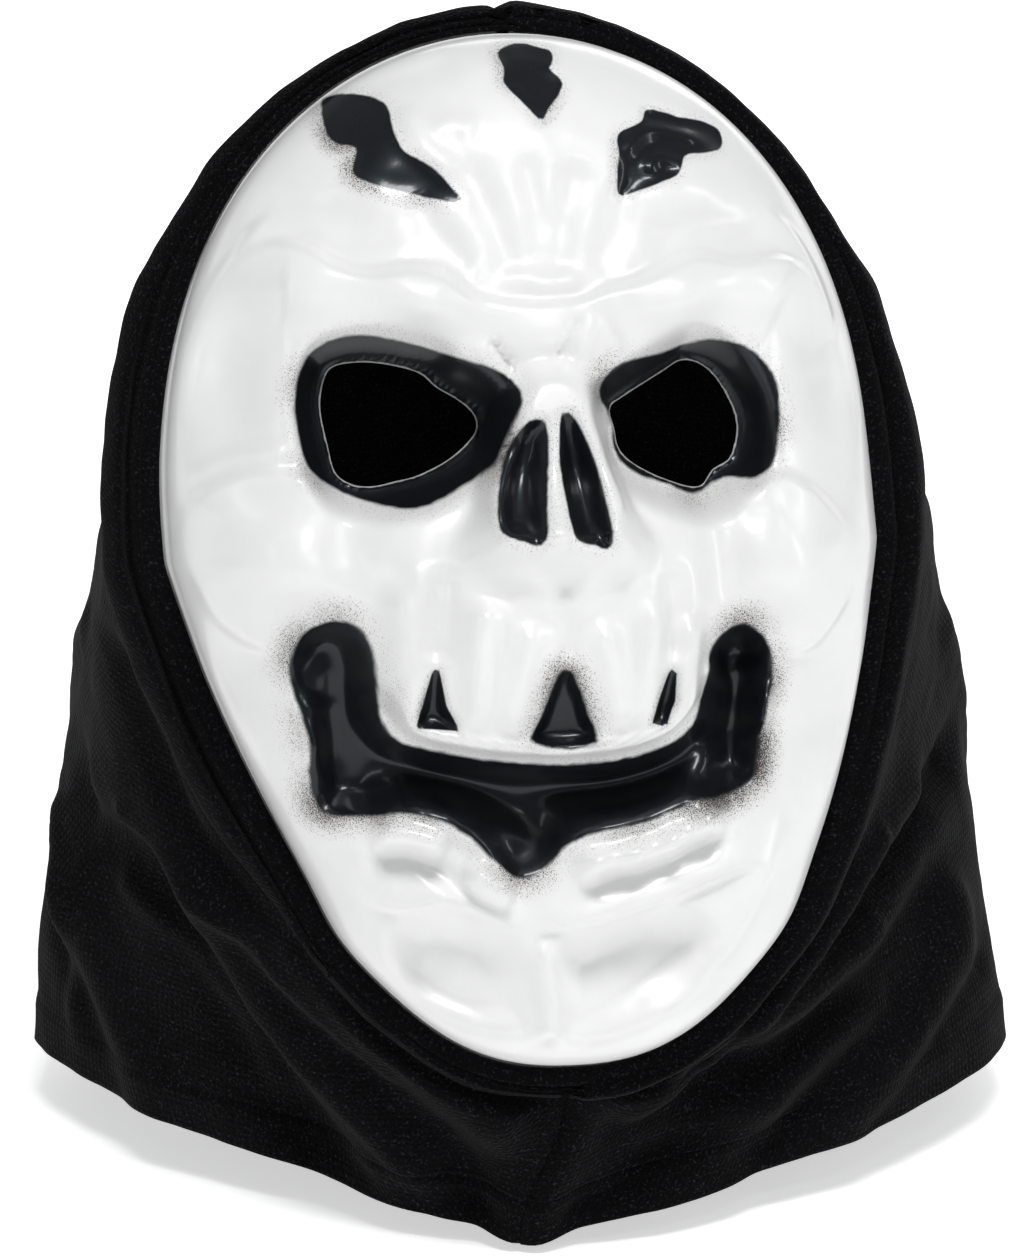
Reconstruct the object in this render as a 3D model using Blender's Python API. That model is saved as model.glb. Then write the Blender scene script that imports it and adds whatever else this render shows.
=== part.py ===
"""A skull mask with a hood: a thin moulded plastic face in the front of a black cloth hood.

The origin is the inside of the hood's crown, where a head carries it. The face looks along -Y and leans back.
Sizes are in millimetres here, and become metres when the vertices are placed.
"""
import functools
import math

import bmesh
import bpy
from mathutils import Vector

MM = 0.001

# The mask: where its middle lies, how far it leans back, and its outline
MASK_CENTRE = Vector((0.0, -108.0, -100.0))
MASK_LEAN = math.radians(13.0)
MASK_HALF_WIDTH = 90.5
MASK_HALF_HEIGHT = 130.0
CHIN_SHIFT = 7.0          # the lower face sits this far to the right of the upper face
CHIN_FORWARD = 18.0       # the edge under the chin lies this far in front of the edge at the temples
MASK_WALL = 1.2
MASK_COLUMNS = 27
MASK_ROWS = 34
DOME_HEIGHT = 53.0
FLANGE_PAST_CASING = 0.7  # the flange also carries the foot of the cloth's first roll

# The cloth
CLOTH = 1.2
GAP = 0.3                 # between pieces that touch
CASING_THICK = 2.2
CASING_OFF = 0.5          # from the foot of the face's slope, whose corners lie between the casing's
CASING_STEPS = 68
HEM_CENTRE = Vector((10.0, -41.0, -259.0))
HEM_TURN = math.radians(-7.5)     # the hem is turned a little against the face
HEM_HALF_WIDTH = 132.5
HEM_FRONT = 106.0
HEM_BACK = 118.0
HEM_DIP_FRONT = 13.0      # how far the hem hangs lower in front than at the sides
HEM_POINT = 3.0           # and the seam pulls its tip this much further down
HEM_FRONT_POWER = {-1: 1.40, 1: 1.52}     # 2 is an oval and 1 a straight line from the corner to the tip
HEM_BACK_POWER = 2.1
HEM_DIP_BACK = 8.0
PANEL_COLUMNS = CASING_STEPS // 2
PANEL_ROWS = 16
SEAM_HOLDS = 0.04         # share of the half outline over which a seam holds the folds flat
ROLL_HOLDS = 0.08         # and share of a rib over which the roll does
HEM_CALMS = 0.15          # share of a rib over which the folds sink towards the hem, to half

WHITE = (0.86, 0.86, 0.84, 1.0)
BLACK = (0.012, 0.012, 0.014, 1.0)

UP = Vector((0.0, math.sin(MASK_LEAN), math.cos(MASK_LEAN)))
FORWARD = Vector((0.0, -math.cos(MASK_LEAN), math.sin(MASK_LEAN)))
RIGHT = Vector((1.0, 0.0, 0.0))


def clamp(x, low=0.0, high=1.0):
    return min(max(x, low), high)


def smooth(x):
    """0 below 0, 1 above 1, and a soft step between."""
    x = clamp(x)
    return x * x * (3.0 - 2.0 * x)


def column(rows, name, at):
    """Reads a named column of a table at a place between its rows, with no corner at a row."""
    rows = sorted(rows, key=lambda row: row["at"])
    if at <= rows[0]["at"]:
        return rows[0][name]
    for low, high in zip(rows, rows[1:]):
        if at <= high["at"]:
            share = (at - low["at"]) / (high["at"] - low["at"])
            return low[name] + (high[name] - low[name]) * smooth(share)
    return rows[-1][name]


def table(names, *rows):
    names = names.split()
    return [dict(zip(names, row)) for row in rows]


# Outline of the mask, in the mask's own plane: u to the right of someone who looks at the face, w up

def centre_line(w):
    return CHIN_SHIFT * smooth((30.0 - w) / 120.0)


def outline_value(u, w):
    """0 in the middle of the mask, 1 on its edge: an oval above, a narrower jaw below."""
    jaw_corner = 3.0 * math.exp(-((w + 97.0) / 12.0) ** 2)
    across = abs(u - centre_line(w)) / (MASK_HALF_WIDTH + jaw_corner)
    up = abs(w) / MASK_HALF_HEIGHT
    if w >= 0.0:
        return across ** 2 + up ** 2.5
    return across ** (2.0 + 0.4 * smooth(up * 4.0)) + up ** 1.2


def inside_point(angle, share):
    """A point of the mask, as (u, w): angle turns from the chin, and share is 1 on the edge."""
    low, high = 0.0, 200.0
    for _ in range(30):
        middle = (low + high) / 2.0
        x, w = middle * math.sin(angle), -middle * math.cos(angle)
        inside = outline_value(x + centre_line(w), w) < 1.0
        low, high = (middle, high) if inside else (low, middle)
    x, w = low * share * math.sin(angle), -low * share * math.cos(angle)
    return Vector((x + centre_line(w), w))


def even_steps(points, count):
    """count + 1 points at equal distances along a line of points."""
    lengths = [0.0]
    for a, b in zip(points, points[1:]):
        lengths.append(lengths[-1] + (b - a).length)
    found = []
    k = 0
    for step in range(count + 1):
        want = lengths[-1] * step / count
        while k < len(points) - 2 and lengths[k + 1] < want:
            k += 1
        share = (want - lengths[k]) / max(lengths[k + 1] - lengths[k], 1e-9)
        found.append(points[k].lerp(points[k + 1], clamp(share)))
    return found


FINE = 360


@functools.cache
def half_outline(side, count):
    """Edge of the mask from the chin to the top, on one side, as (u, w)."""
    fine = [inside_point(side * math.pi * step / FINE, 1.0) for step in range(FINE + 1)]
    return even_steps(fine, count)


def edge_depth(w):
    return CHIN_FORWARD * smooth((-w - 25.0) / 115.0)


def mask_point(u, w, d):
    return MASK_CENTRE + RIGHT * u + UP * w + FORWARD * d


# The edge of the cloth round the face: at is the share of the way from the chin to the top

EDGE = table(
    "side at casing roll depth",
    (-1, 0.00, 4.8, 3.2, 0.0),
    (-1, 0.18, 4.8, 3.2, 0.0),
    (-1, 0.36, 5.0, 9.5, 1.0),
    (-1, 0.47, 4.5, 10.5, 1.0),
    (-1, 0.58, 4.2, 9.5, 1.0),
    (-1, 0.66, 3.5, 9.5, 0.7),
    (-1, 0.76, 2.5, 6.0, 0.2),
    (-1, 0.87, 2.0, 4.5, 0.2),
    (-1, 1.00, 1.5, 5.0, 0.2),
    (1, 0.00, 4.8, 3.2, 0.0),
    (1, 0.16, 3.5, 3.2, 0.0),
    (1, 0.30, 2.5, 8.0, 0.6),
    (1, 0.42, 2.2, 10.5, 1.0),
    (1, 0.56, 1.8, 11.5, 1.0),
    (1, 0.65, 1.8, 8.0, 0.6),
    (1, 0.74, 1.6, 3.5, 0.1),
    (1, 0.86, 1.2, 3.2, 0.0),
    (1, 1.00, 1.5, 5.0, 0.2),
)


def edge_column(side, name, at):
    return column([row for row in EDGE if row["side"] == side], name, at)


def outward(edge, k):
    """Direction away from the mask, square to its edge, at a point of a half outline."""
    if k in (0, len(edge) - 1):
        return Vector((0.0, -1.0 if k == 0 else 1.0))
    along = edge[k + 1] - edge[k - 1]
    across = Vector((along.y, -along.x)).normalized()
    return -across if across.dot(edge[k]) < 0.0 else across


# Relief of the face. A bump has a middle, two radii and a height, and a run is a line with a radius at each point

BUMPS = table(
    "name u w wide tall height",
    ("cheekbone left", -65.0, 2.0, 20.0, 15.0, 9.0),
    ("cheekbone right", 60.0, -3.0, 19.0, 15.0, 9.0),
    ("under cheek left", -74.0, -28.0, 12.0, 18.0, -5.0),
    ("under cheek right", 74.0, -32.0, 12.0, 18.0, -5.0),
    ("temple left", -74.0, 50.0, 9.0, 22.0, -6.0),
    ("temple right", 76.0, 48.0, 9.0, 22.0, -6.0),
    ("brow bulge left outer", -61.0, 70.0, 13.0, 8.0, 5.0),
    ("brow bulge left inner", -29.0, 66.0, 13.0, 8.0, 6.0),
    ("brow bulge right inner", 35.0, 66.0, 13.0, 8.0, 6.0),
    ("brow bulge right outer", 60.0, 66.0, 12.0, 8.0, 5.0),
    ("upper jaw", -3.0, -19.0, 28.0, 19.0, 8.0),
    ("chin", 4.0, -110.0, 36.0, 16.0, 4.0),
    ("chin dish left", -21.0, -103.0, 14.0, 10.0, -5.0),
    ("chin dish right", 18.0, -101.0, 14.0, 10.0, -5.0),
)

RUNS = {
    "upper jaw": table("u w radius", (-19, -22, 22), (15, -22, 22)),
    "brow": table("u w radius", (-62, 62, 7), (-30, 60, 8), (2, 52, 8), (34, 60, 8), (62, 58, 7)),
    "nose": table("u w radius", (2, 44, 5), (1, 28, 9), (0, 13, 13)),
    "mouth": table(
        "u w radius",
        (-54, -22, 9), (-52, -36, 8), (-49, -51, 8), (-27, -54, 7), (-10, -60, 8),
        (12, -58, 7), (32, -52, 7), (43, -44, 8), (46, -27, 8),
    ),
    "lower teeth": table("u w radius", (-46, -64, 5), (-30, -68, 6), (-14, -80, 6), (6, -74, 6), (40, -64, 5)),
    "nostril left": table("u w radius", (-4, 32, 1), (-10, 10, 5)),
    "nostril right": table("u w radius", (4, 33, 1), (7, 8, 5)),
    "tooth gap left": table("u w radius", (-30, -26, 1), (-31, -36, 4)),
    "tooth gap middle": table("u w radius", (0, -27, 2), (1, -39, 7)),
    "tooth gap right": table("u w radius", (27, -28, 1), (24, -38, 3)),
}

# Name of a run, how far it raises or sinks the face, and over what distance its side slopes
RUN_RELIEF = table(
    "run height slope",
    ("upper jaw", 13.0, 15.0),
    ("brow", 8.0, 10.0),
    ("nose", 21.0, 8.0),
    ("mouth", -15.0, 10.0),
    ("lower teeth", 5.0, 7.0),
    ("nostril left", -7.0, 5.0),
    ("nostril right", -7.0, 5.0),
    ("tooth gap left", -4.0, 4.0),
    ("tooth gap middle", -6.0, 5.0),
    ("tooth gap right", -4.0, 4.0),
)

EYE_HOLES = {
    "left": table(
        "u w",
        (-53, 42), (-47, 49), (-36, 49), (-27, 43), (-17, 37), (-16, 30), (-24, 23), (-35, 20), (-46, 19), (-52, 28),
    ),
    "right": table(
        "u w",
        (19, 37), (27, 42), (37, 47), (46, 42), (51, 33), (50, 24), (41, 17), (34, 17), (22, 23), (20, 30),
    ),
}
EYE_RIM = 11.0            # the painted slope round an eye hole
EYE_DEPTH = 15.0

FOREHEAD_DENTS = {
    "left": table("u w radius", (-43, 108, 7), (-39, 100, 6), (-28, 92, 4)),
    "centre": table("u w radius", (0, 121, 6), (2, 113, 4)),
    "right": table("u w radius", (26, 94, 6), (32, 102, 7), (42, 102, 4)),
}
DENT_DEPTH = 3.0


def run_distance(rows, u, w):
    """Distance from the side of a run, less than nought inside it."""
    best = 1e9
    for a, b in zip(rows, rows[1:]):
        du, dw = b["u"] - a["u"], b["w"] - a["w"]
        share = clamp(((u - a["u"]) * du + (w - a["w"]) * dw) / (du * du + dw * dw))
        off = math.hypot(u - a["u"] - share * du, w - a["w"] - share * dw)
        best = min(best, off - a["radius"] - share * (b["radius"] - a["radius"]))
    return best


def loop_distance(rows, u, w):
    """Distance from a closed outline, less than nought inside it."""
    best, inside = 1e9, False
    for a, b in zip(rows, rows[1:] + rows[:1]):
        du, dw = b["u"] - a["u"], b["w"] - a["w"]
        share = clamp(((u - a["u"]) * du + (w - a["w"]) * dw) / (du * du + dw * dw))
        best = min(best, math.hypot(u - a["u"] - share * du, w - a["w"] - share * dw))
        if (a["w"] > w) != (b["w"] > w) and u < a["u"] + du * (w - a["w"]) / dw:
            inside = not inside
    return -best if inside else best


def relief(u, w):
    """Depth of the face in front of the mask's plane."""
    depth = edge_depth(w) + DOME_HEIGHT * clamp(1.0 - outline_value(u, w)) ** 0.42
    inner = smooth((1.0 - outline_value(u, w)) / 0.12)
    change = 0.0
    for row in BUMPS:
        change += row["height"] * math.exp(-((u - row["u"]) / row["wide"]) ** 2 - ((w - row["w"]) / row["tall"]) ** 2)
    for row in RUN_RELIEF:
        off = run_distance(RUNS[row["run"]], u, w)
        change += row["height"] * smooth(0.5 - off / row["slope"])
    for eye in EYE_HOLES.values():
        change -= EYE_DEPTH * smooth(1.0 - loop_distance(eye, u, w) / EYE_RIM)
    for dent in FOREHEAD_DENTS.values():
        change -= DENT_DEPTH * smooth(0.5 - run_distance(dent, u, w) / 3.0)
    return depth + inner * change


def relief_normal(u, w):
    step = 1.5
    slope_u = (relief(u + step, w) - relief(u - step, w)) / (2.0 * step)
    slope_w = (relief(u, w + step) - relief(u, w - step)) / (2.0 * step)
    return (FORWARD - RIGHT * slope_u - UP * slope_w).normalized()


# Making closed pieces from grids

def material(name, colour, roughness):
    made = bpy.data.materials.new(name)
    made.use_nodes = True
    shader = made.node_tree.nodes["Principled BSDF"]
    shader.inputs["Base Color"].default_value = colour
    shader.inputs["Roughness"].default_value = roughness
    return made


def finish(name, bm, finish_material):
    """Turns a bmesh into an object whose faces point out."""
    bmesh.ops.remove_doubles(bm, verts=bm.verts, dist=1e-7)
    bmesh.ops.triangulate(bm, faces=bm.faces)
    bmesh.ops.recalc_face_normals(bm, faces=bm.faces)
    mesh = bpy.data.meshes.new(name)
    bm.to_mesh(mesh)
    bm.free()
    mesh.shade_smooth()
    mesh.set_sharp_from_angle(angle=math.radians(50.0))
    mesh.materials.append(finish_material)
    made = bpy.data.objects.new(name, mesh)
    bpy.context.scene.collection.objects.link(made)
    return made


def wall(bm, place):
    """Gives a flat sheet its wall and its shape: place(parameters, inside) says where a point goes."""
    made = bmesh.ops.extrude_face_region(bm, geom=bm.faces[:], use_keep_orig=True)
    copies = {item for item in made["geom"] if isinstance(item, bmesh.types.BMVert)}
    for vertex in bm.verts:
        vertex.co = place(vertex.co.copy(), vertex in copies) * MM


def sheet(columns, rows):
    """A flat grid from 0 to columns and from 0 to rows."""
    bm = bmesh.new()
    bmesh.ops.create_grid(bm, x_segments=columns, y_segments=rows, size=0.5)
    for vertex in bm.verts:
        vertex.co = Vector((round((vertex.co.x + 0.5) * columns), round((vertex.co.y + 0.5) * rows), 0.0))
    return bm


# The mask

def mask_place(co, inside):
    """co holds u, w, and 0 on the face, 1 on its edge and 2 on the flange's edge."""
    if co.z < 0.5:
        point = mask_point(co.x, co.y, relief(co.x, co.y))
        return point - relief_normal(co.x, co.y) * MASK_WALL if inside else point
    point = mask_point(co.x, co.y, edge_depth(co.y))
    if not inside:
        return point
    inward = (RIGHT * (centre_line(co.y) - co.x) - UP * co.y).normalized()
    return point - FORWARD * MASK_WALL + inward * (MASK_WALL if co.z < 1.5 else 0.0)


def flange_edge(co):
    """The point of the flange's outer edge beside a point of the mask's edge."""
    side = 1 if co.x >= centre_line(co.y) else -1
    edge = half_outline(side, CASING_STEPS // 2)
    k = min(range(len(edge)), key=lambda n: (edge[n] - co.xy).length)
    width = edge_column(side, "casing", k / (len(edge) - 1)) + CASING_OFF + GAP + FLANGE_PAST_CASING
    return co.xy + outward(edge, k) * width


def mask_shell(finish_material):
    """The moulded face: a square sheet rounded to the outline, with a flat flange round it."""
    bm = sheet(MASK_COLUMNS, MASK_ROWS)
    for vertex in bm.verts:
        x = 2.0 * vertex.co.x / MASK_COLUMNS - 1.0
        y = 2.0 * vertex.co.y / MASK_ROWS - 1.0
        round_x, round_y = x * math.sqrt(1.0 - y * y / 2.0), y * math.sqrt(1.0 - x * x / 2.0)
        place = inside_point(math.atan2(round_x, -round_y), math.hypot(round_x, round_y))
        vertex.co = Vector((place.x, place.y, 1.0 if max(abs(x), abs(y)) > 0.999 else 0.0))
    rim = [edge for edge in bm.edges if edge.is_boundary]
    made = bmesh.ops.extrude_edge_only(bm, edges=rim)
    for vertex in [item for item in made["geom"] if isinstance(item, bmesh.types.BMVert)]:
        place = flange_edge(vertex.co)
        vertex.co = Vector((place.x, place.y, 2.0))
    wall(bm, mask_place)
    shell = finish("mask_shell", bm, finish_material)
    for side, rows in EYE_HOLES.items():
        cut = shell.modifiers.new("eye " + side, "BOOLEAN")
        cut.operation = "DIFFERENCE"
        cut.solver = "EXACT"
        cut.object = eye_cutter(side, rows)
    return shell


def eye_cutter(side, rows):
    """A prism through the face, of the eye hole's outline."""
    bm = bmesh.new()
    corners = [bm.verts.new(mask_point(row["u"], row["w"], 5.0) * MM) for row in rows]
    base = bm.faces.new(corners)
    made = bmesh.ops.extrude_face_region(bm, geom=[base], use_keep_orig=True)
    tops = [item for item in made["geom"] if isinstance(item, bmesh.types.BMVert)]
    bmesh.ops.translate(bm, verts=tops, vec=FORWARD * 100.0 * MM)
    bmesh.ops.recalc_face_normals(bm, faces=bm.faces)
    mesh = bpy.data.meshes.new("cutter eye " + side)
    bm.to_mesh(mesh)
    bm.free()
    cutter = bpy.data.objects.new("cutter_eye_" + side, mesh)
    cutter.hide_render = True
    cutter.display_type = "WIRE"
    bpy.context.scene.collection.objects.link(cutter)
    return cutter


# Rows of a panel from the casing to the groove behind the outer roll: share of the roll's width, height in front of
# the flange, and how much of that grows and shrinks with the roll. The foot stands on the flange.
FOOT = 0.35
ROLL = table(
    "side name out fixed grows",
    (-1, "foot", 0.0, FOOT, 0.0),
    (-1, "inner roll side", 0.0, FOOT + 1.3, 0.2),
    (-1, "inner roll", 0.16, FOOT + 1.6, 0.9),
    (-1, "groove", 0.36, 1.8, -2.9),
    (-1, "outer roll", 0.62, 1.8, 1.2),
    (-1, "outer roll side", 1.0, -1.5, -1.0),
    (-1, "behind the roll", 0.94, -3.5, -5.5),
    (1, "foot", 0.0, FOOT, 0.0),
    (1, "lip side", 0.0, FOOT + 1.3, 0.0),
    (1, "lip", 0.17, FOOT + 1.3, 0.0),
    (1, "groove", 0.37, 2.0, -4.1),
    (1, "outer roll", 0.7, 2.0, 1.0),
    (1, "outer roll side", 1.0, -1.5, -1.0),
    (1, "behind the roll", 1.06, -3.5, -4.5),
)


def face_casing(finish_material):
    """The hem strip: a closed loop with a flat oval section, lying on the flange."""
    half = CASING_STEPS // 2
    ring = []
    for side, order in ((-1, 1), (1, -1)):
        points = half_outline(side, half)
        stations = []
        for k, point in enumerate(points):
            stations.append((point, outward(points, k), edge_column(side, "casing", k / half)))
        ring.extend(stations[::order][:-1])
    ring.append(ring[0])
    profile = table("out up", (0.0, 0.25), (0.18, 0.9), (0.5, 1.0), (0.82, 0.9), (1.0, 0.25), (1.0, 0.0), (0.0, 0.0))
    bm = sheet(len(ring) - 1, len(profile))
    for vertex in bm.verts:
        point, across, width = ring[int(vertex.co.x)]
        row = profile[int(vertex.co.y) % len(profile)]
        place = point + across * (CASING_OFF + row["out"] * width)
        depth = edge_depth(place.y) + GAP + row["up"] * CASING_THICK
        vertex.co = mask_point(place.x, place.y, depth) * MM
    return finish("face_casing", bm, finish_material)


# The hood's panels. Each rib leaves the back of the roll and lands on the hem, on a cubic curve with two handles

RIBS = table(
    "side at leave_out leave_back leave_up land_out land_back land_up",
    (-1, 0.00, 0.0, 2.0, -16.0, 0.0, -2.0, 16.0),
    (-1, 0.12, 4.0, 6.0, -22.0, 0.0, 0.0, 24.0),
    (-1, 0.25, 10.0, 14.0, -30.0, 0.0, 0.0, 40.0),
    (-1, 0.40, 8.0, 24.0, -36.0, 0.0, 6.0, 60.0),
    (-1, 0.55, -2.0, 44.0, -40.0, -4.0, 14.0, 80.0),
    (-1, 0.70, -4.0, 80.0, -34.0, -4.0, 30.0, 110.0),
    (-1, 0.85, 4.0, 134.0, -42.0, 0.0, 38.0, 130.0),
    (-1, 1.00, 0.0, 162.0, -49.5, 0.0, 42.0, 136.0),
    (1, 0.00, 0.0, 2.0, -16.0, 0.0, -2.0, 16.0),
    (1, 0.12, 4.0, 6.0, -22.0, 0.0, 0.0, 24.0),
    (1, 0.25, 4.0, 14.0, -30.0, -6.0, 0.0, 40.0),
    (1, 0.40, 8.0, 24.0, -36.0, -12.0, 6.0, 60.0),
    (1, 0.55, 16.0, 44.0, -40.0, -8.0, 14.0, 80.0),
    (1, 0.70, 14.0, 80.0, -34.0, 0.0, 30.0, 110.0),
    (1, 0.85, 4.0, 134.0, -42.0, 0.0, 38.0, 130.0),
    (1, 1.00, 0.0, 162.0, -49.5, 0.0, 42.0, 136.0),
)


def hem_loop(side, count):
    """The hem on one side, from the front seam to the back seam."""
    fine = []
    for step in range(FINE + 1):
        turn = math.pi * step / FINE
        front = turn < math.pi / 2.0
        power = 2.0 / (HEM_FRONT_POWER[side] if front else HEM_BACK_POWER)
        across = side * HEM_HALF_WIDTH * math.sin(turn) ** power
        along = (HEM_FRONT if front else HEM_BACK) * math.copysign(abs(math.cos(turn)) ** power, -math.cos(turn))
        height = -HEM_DIP_BACK * math.cos(turn) ** 2
        if front:
            height = -HEM_DIP_FRONT * math.cos(turn) ** 4 - HEM_POINT * math.cos(turn) ** 60
        x = across * math.cos(HEM_TURN) - along * math.sin(HEM_TURN)
        y = across * math.sin(HEM_TURN) + along * math.cos(HEM_TURN)
        fine.append(HEM_CENTRE + Vector((x, y, height)))
    return even_steps(fine, count)


def cubic(a, b, c, d, t):
    s = 1.0 - t
    return a * s ** 3 + b * (3 * s * s * t) + c * (3 * s * t * t) + d * t ** 3


def roll_points(side, count):
    """The rows of one panel beside the face."""
    edge = half_outline(side, count)
    rows = []
    for row in [row for row in ROLL if row["side"] == side]:
        line = []
        for k, point in enumerate(edge):
            at = k / count
            casing = edge_column(side, "casing", at) + CASING_OFF + GAP
            place = point + outward(edge, k) * (casing + row["out"] * edge_column(side, "roll", at))
            depth = edge_depth(place.y) + row["fixed"] + row["grows"] * edge_column(side, "depth", at)
            line.append(mask_point(place.x, place.y, depth))
        rows.append(line)
    return rows


def rib_column(side, name, at):
    return column([row for row in RIBS if row["side"] == side], name, at)


def rib_handle(side, way, at):
    """The handle of a rib's curve, as an offset from its end."""
    out, back, up = (rib_column(side, way + name, at) for name in ("_out", "_back", "_up"))
    return Vector((side * out, back, up))


def panel_points(side):
    """All rows of a panel, from the casing to the hem."""
    rows = roll_points(side, PANEL_COLUMNS)
    starts, ends = rows[-1], hem_loop(side, PANEL_COLUMNS)
    handles = []
    for k in range(PANEL_COLUMNS + 1):
        at = k / PANEL_COLUMNS
        handles.append((starts[k] + rib_handle(side, "leave", at), ends[k] + rib_handle(side, "land", at)))
    for step in range(1, PANEL_ROWS + 1):
        t = step / PANEL_ROWS
        rows.append([cubic(a, b, c, d, t) for a, (b, c), d in zip(starts, handles, ends)])
    return rows


def grid_normals(rows, side):
    """Outward normals of a grid, with the ones on a seam turned into the seam's own plane."""
    found = []
    for i, line in enumerate(rows):
        normals = []
        for j in range(len(line)):
            down = rows[min(i + 1, len(rows) - 1)][j] - rows[max(i - 1, 0)][j]
            along = line[min(j + 1, len(line) - 1)] - line[max(j - 1, 0)]
            normal = down.cross(along) * side
            if j in (0, len(line) - 1):
                normal.x = 0.0
            normals.append(normal.normalized())
        found.append(normals)
    return found


# Folds of the panels. Each is a line over up to four places, at along the edge and t from the roll down to the hem,
# with the height and the half width of its ridge, or of its valley where the height is less than nought

FOLDS = table(
    "name side at1 t1 at2 t2 at3 t3 at4 t4 height wide",
    ("hollow behind the roll", -1, 0.44, 0.06, 0.34, 0.08, 0.24, 0.06, 0.18, 0.04, -3.0, 10.0),
    ("first ridge", -1, 0.42, 0.40, 0.34, 0.22, 0.21, 0.10, 0.05, 0.14, 5.0, 13.0),
    ("broad valley", -1, 0.43, 0.45, 0.34, 0.35, 0.27, 0.46, 0.16, 0.92, -6.0, 17.0),
    ("second ridge", -1, 0.29, 0.27, 0.21, 0.40, 0.15, 0.55, 0.09, 0.74, 5.0, 13.0),
    ("front valley", -1, 0.24, 0.23, 0.14, 0.24, 0.08, 0.36, 0.03, 0.94, -5.0, 12.0),
    ("side ridge", -1, 0.41, 0.68, 0.38, 0.74, 0.35, 0.82, 0.31, 1.0, 5.0, 15.0),
    ("side valley", -1, 0.44, 0.74, 0.40, 0.80, 0.37, 0.87, 0.34, 1.0, -3.0, 9.0),
    ("tucked ridge", 1, 0.37, 0.32, 0.31, 0.22, 0.22, 0.08, 0.14, 0.04, 4.0, 9.0),
    ("tucked valley", 1, 0.46, 0.50, 0.34, 0.37, 0.23, 0.16, 0.09, 0.06, -5.0, 9.0),
    ("first ridge", 1, 0.40, 0.56, 0.34, 0.52, 0.21, 0.32, 0.05, 0.09, 5.0, 12.0),
    ("long valley", 1, 0.40, 0.60, 0.29, 0.60, 0.15, 0.40, 0.04, 0.25, -6.0, 12.0),
    ("second ridge", 1, 0.40, 0.68, 0.31, 0.67, 0.24, 0.69, 0.18, 0.70, 5.0, 11.0),
    ("side valley", 1, 0.36, 0.72, 0.28, 0.77, 0.23, 0.84, 0.18, 0.95, -4.0, 10.0),
    ("side ridge", 1, 0.39, 0.78, 0.36, 0.82, 0.32, 0.86, 0.26, 0.92, 5.0, 13.0),
    ("front valley", 1, 0.13, 0.32, 0.10, 0.55, 0.08, 0.74, 0.04, 0.93, -4.0, 11.0),
)


def surface_place(rows, at, t):
    """The point of a panel's grid at a share of its edge and of its ribs."""
    line = rows[round(len(rows) - 1 - (1.0 - t) * PANEL_ROWS)]
    return line[round(at * (len(line) - 1))]


def fold_height(point, spine, height, wide):
    """What one fold adds at a point: a ridge with round sides about its spine."""
    nearest = 1e9
    for a, b in zip(spine, spine[1:]):
        along = b - a
        share = clamp((point - a).dot(along) / max(along.length_squared, 1e-9))
        nearest = min(nearest, (point - a - along * share).length)
    return height * math.exp(-(nearest / wide) ** 2)


def fold_heights(rows, side):
    """How far the folds move each point of a panel's grid. The seams and the roll hold the cloth."""
    spines = []
    for row in FOLDS:
        if row["side"] == side:
            spine = [surface_place(rows, row[f"at{k}"], row[f"t{k}"]) for k in (1, 2, 3, 4)]
            spines.append((spine, row["height"], row["wide"]))
    last = len(rows[0]) - 1
    found = []
    for i, line in enumerate(rows):
        t = 1.0 - (len(rows) - 1 - i) / PANEL_ROWS
        heights = []
        for j, point in enumerate(line):
            held = smooth(t / ROLL_HOLDS) * smooth(min(j, last - j) / last / SEAM_HOLDS)
            held *= 0.5 + 0.5 * smooth((1.0 - t) / HEM_CALMS)
            heights.append(held * sum(fold_height(point, *fold) for fold in spines))
        found.append(heights)
    return found


def hood_panel(name, side, finish_material):
    rows = panel_points(side)
    normals, heights = grid_normals(rows, side), fold_heights(rows, side)
    rows = [
        [point + normal * height for point, normal, height in zip(*lines)]
        for lines in zip(rows, normals, heights)
    ]
    normals = grid_normals(rows, side)
    for line in rows:
        for j in (0, -1):
            line[j] = line[j] + RIGHT * side * GAP / 2.0

    def place(co, inside):
        i, j = int(co.y), int(co.x)
        return rows[i][j] - normals[i][j] * (CLOTH if inside else 0.0)

    bm = sheet(len(rows[0]) - 1, len(rows) - 1)
    wall(bm, place)
    return finish(name, bm, finish_material)


def main():
    for old in list(bpy.data.objects):
        bpy.data.objects.remove(old, do_unlink=True)
    plastic = material("white plastic", WHITE, 0.18)
    cloth = material("black cloth", BLACK, 0.9)
    mask_shell(plastic)
    face_casing(cloth)
    hood_panel("hood_left", -1, cloth)
    hood_panel("hood_right", 1, cloth)


main()
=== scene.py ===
# %% [markdown]
# A skull mask with a hood. The face is one thin sheet of white plastic, formed over a mould by vacuum, with
# black paint sprayed through stencils. A black knit hood is sewn round its edge. This file builds the looks
# of both. It starts by loading the solid model, which gives the place and the size of every piece.

# %% The frame
import math

import bmesh
import bpy
import numpy as np
from mathutils import Matrix, Vector, noise


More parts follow.
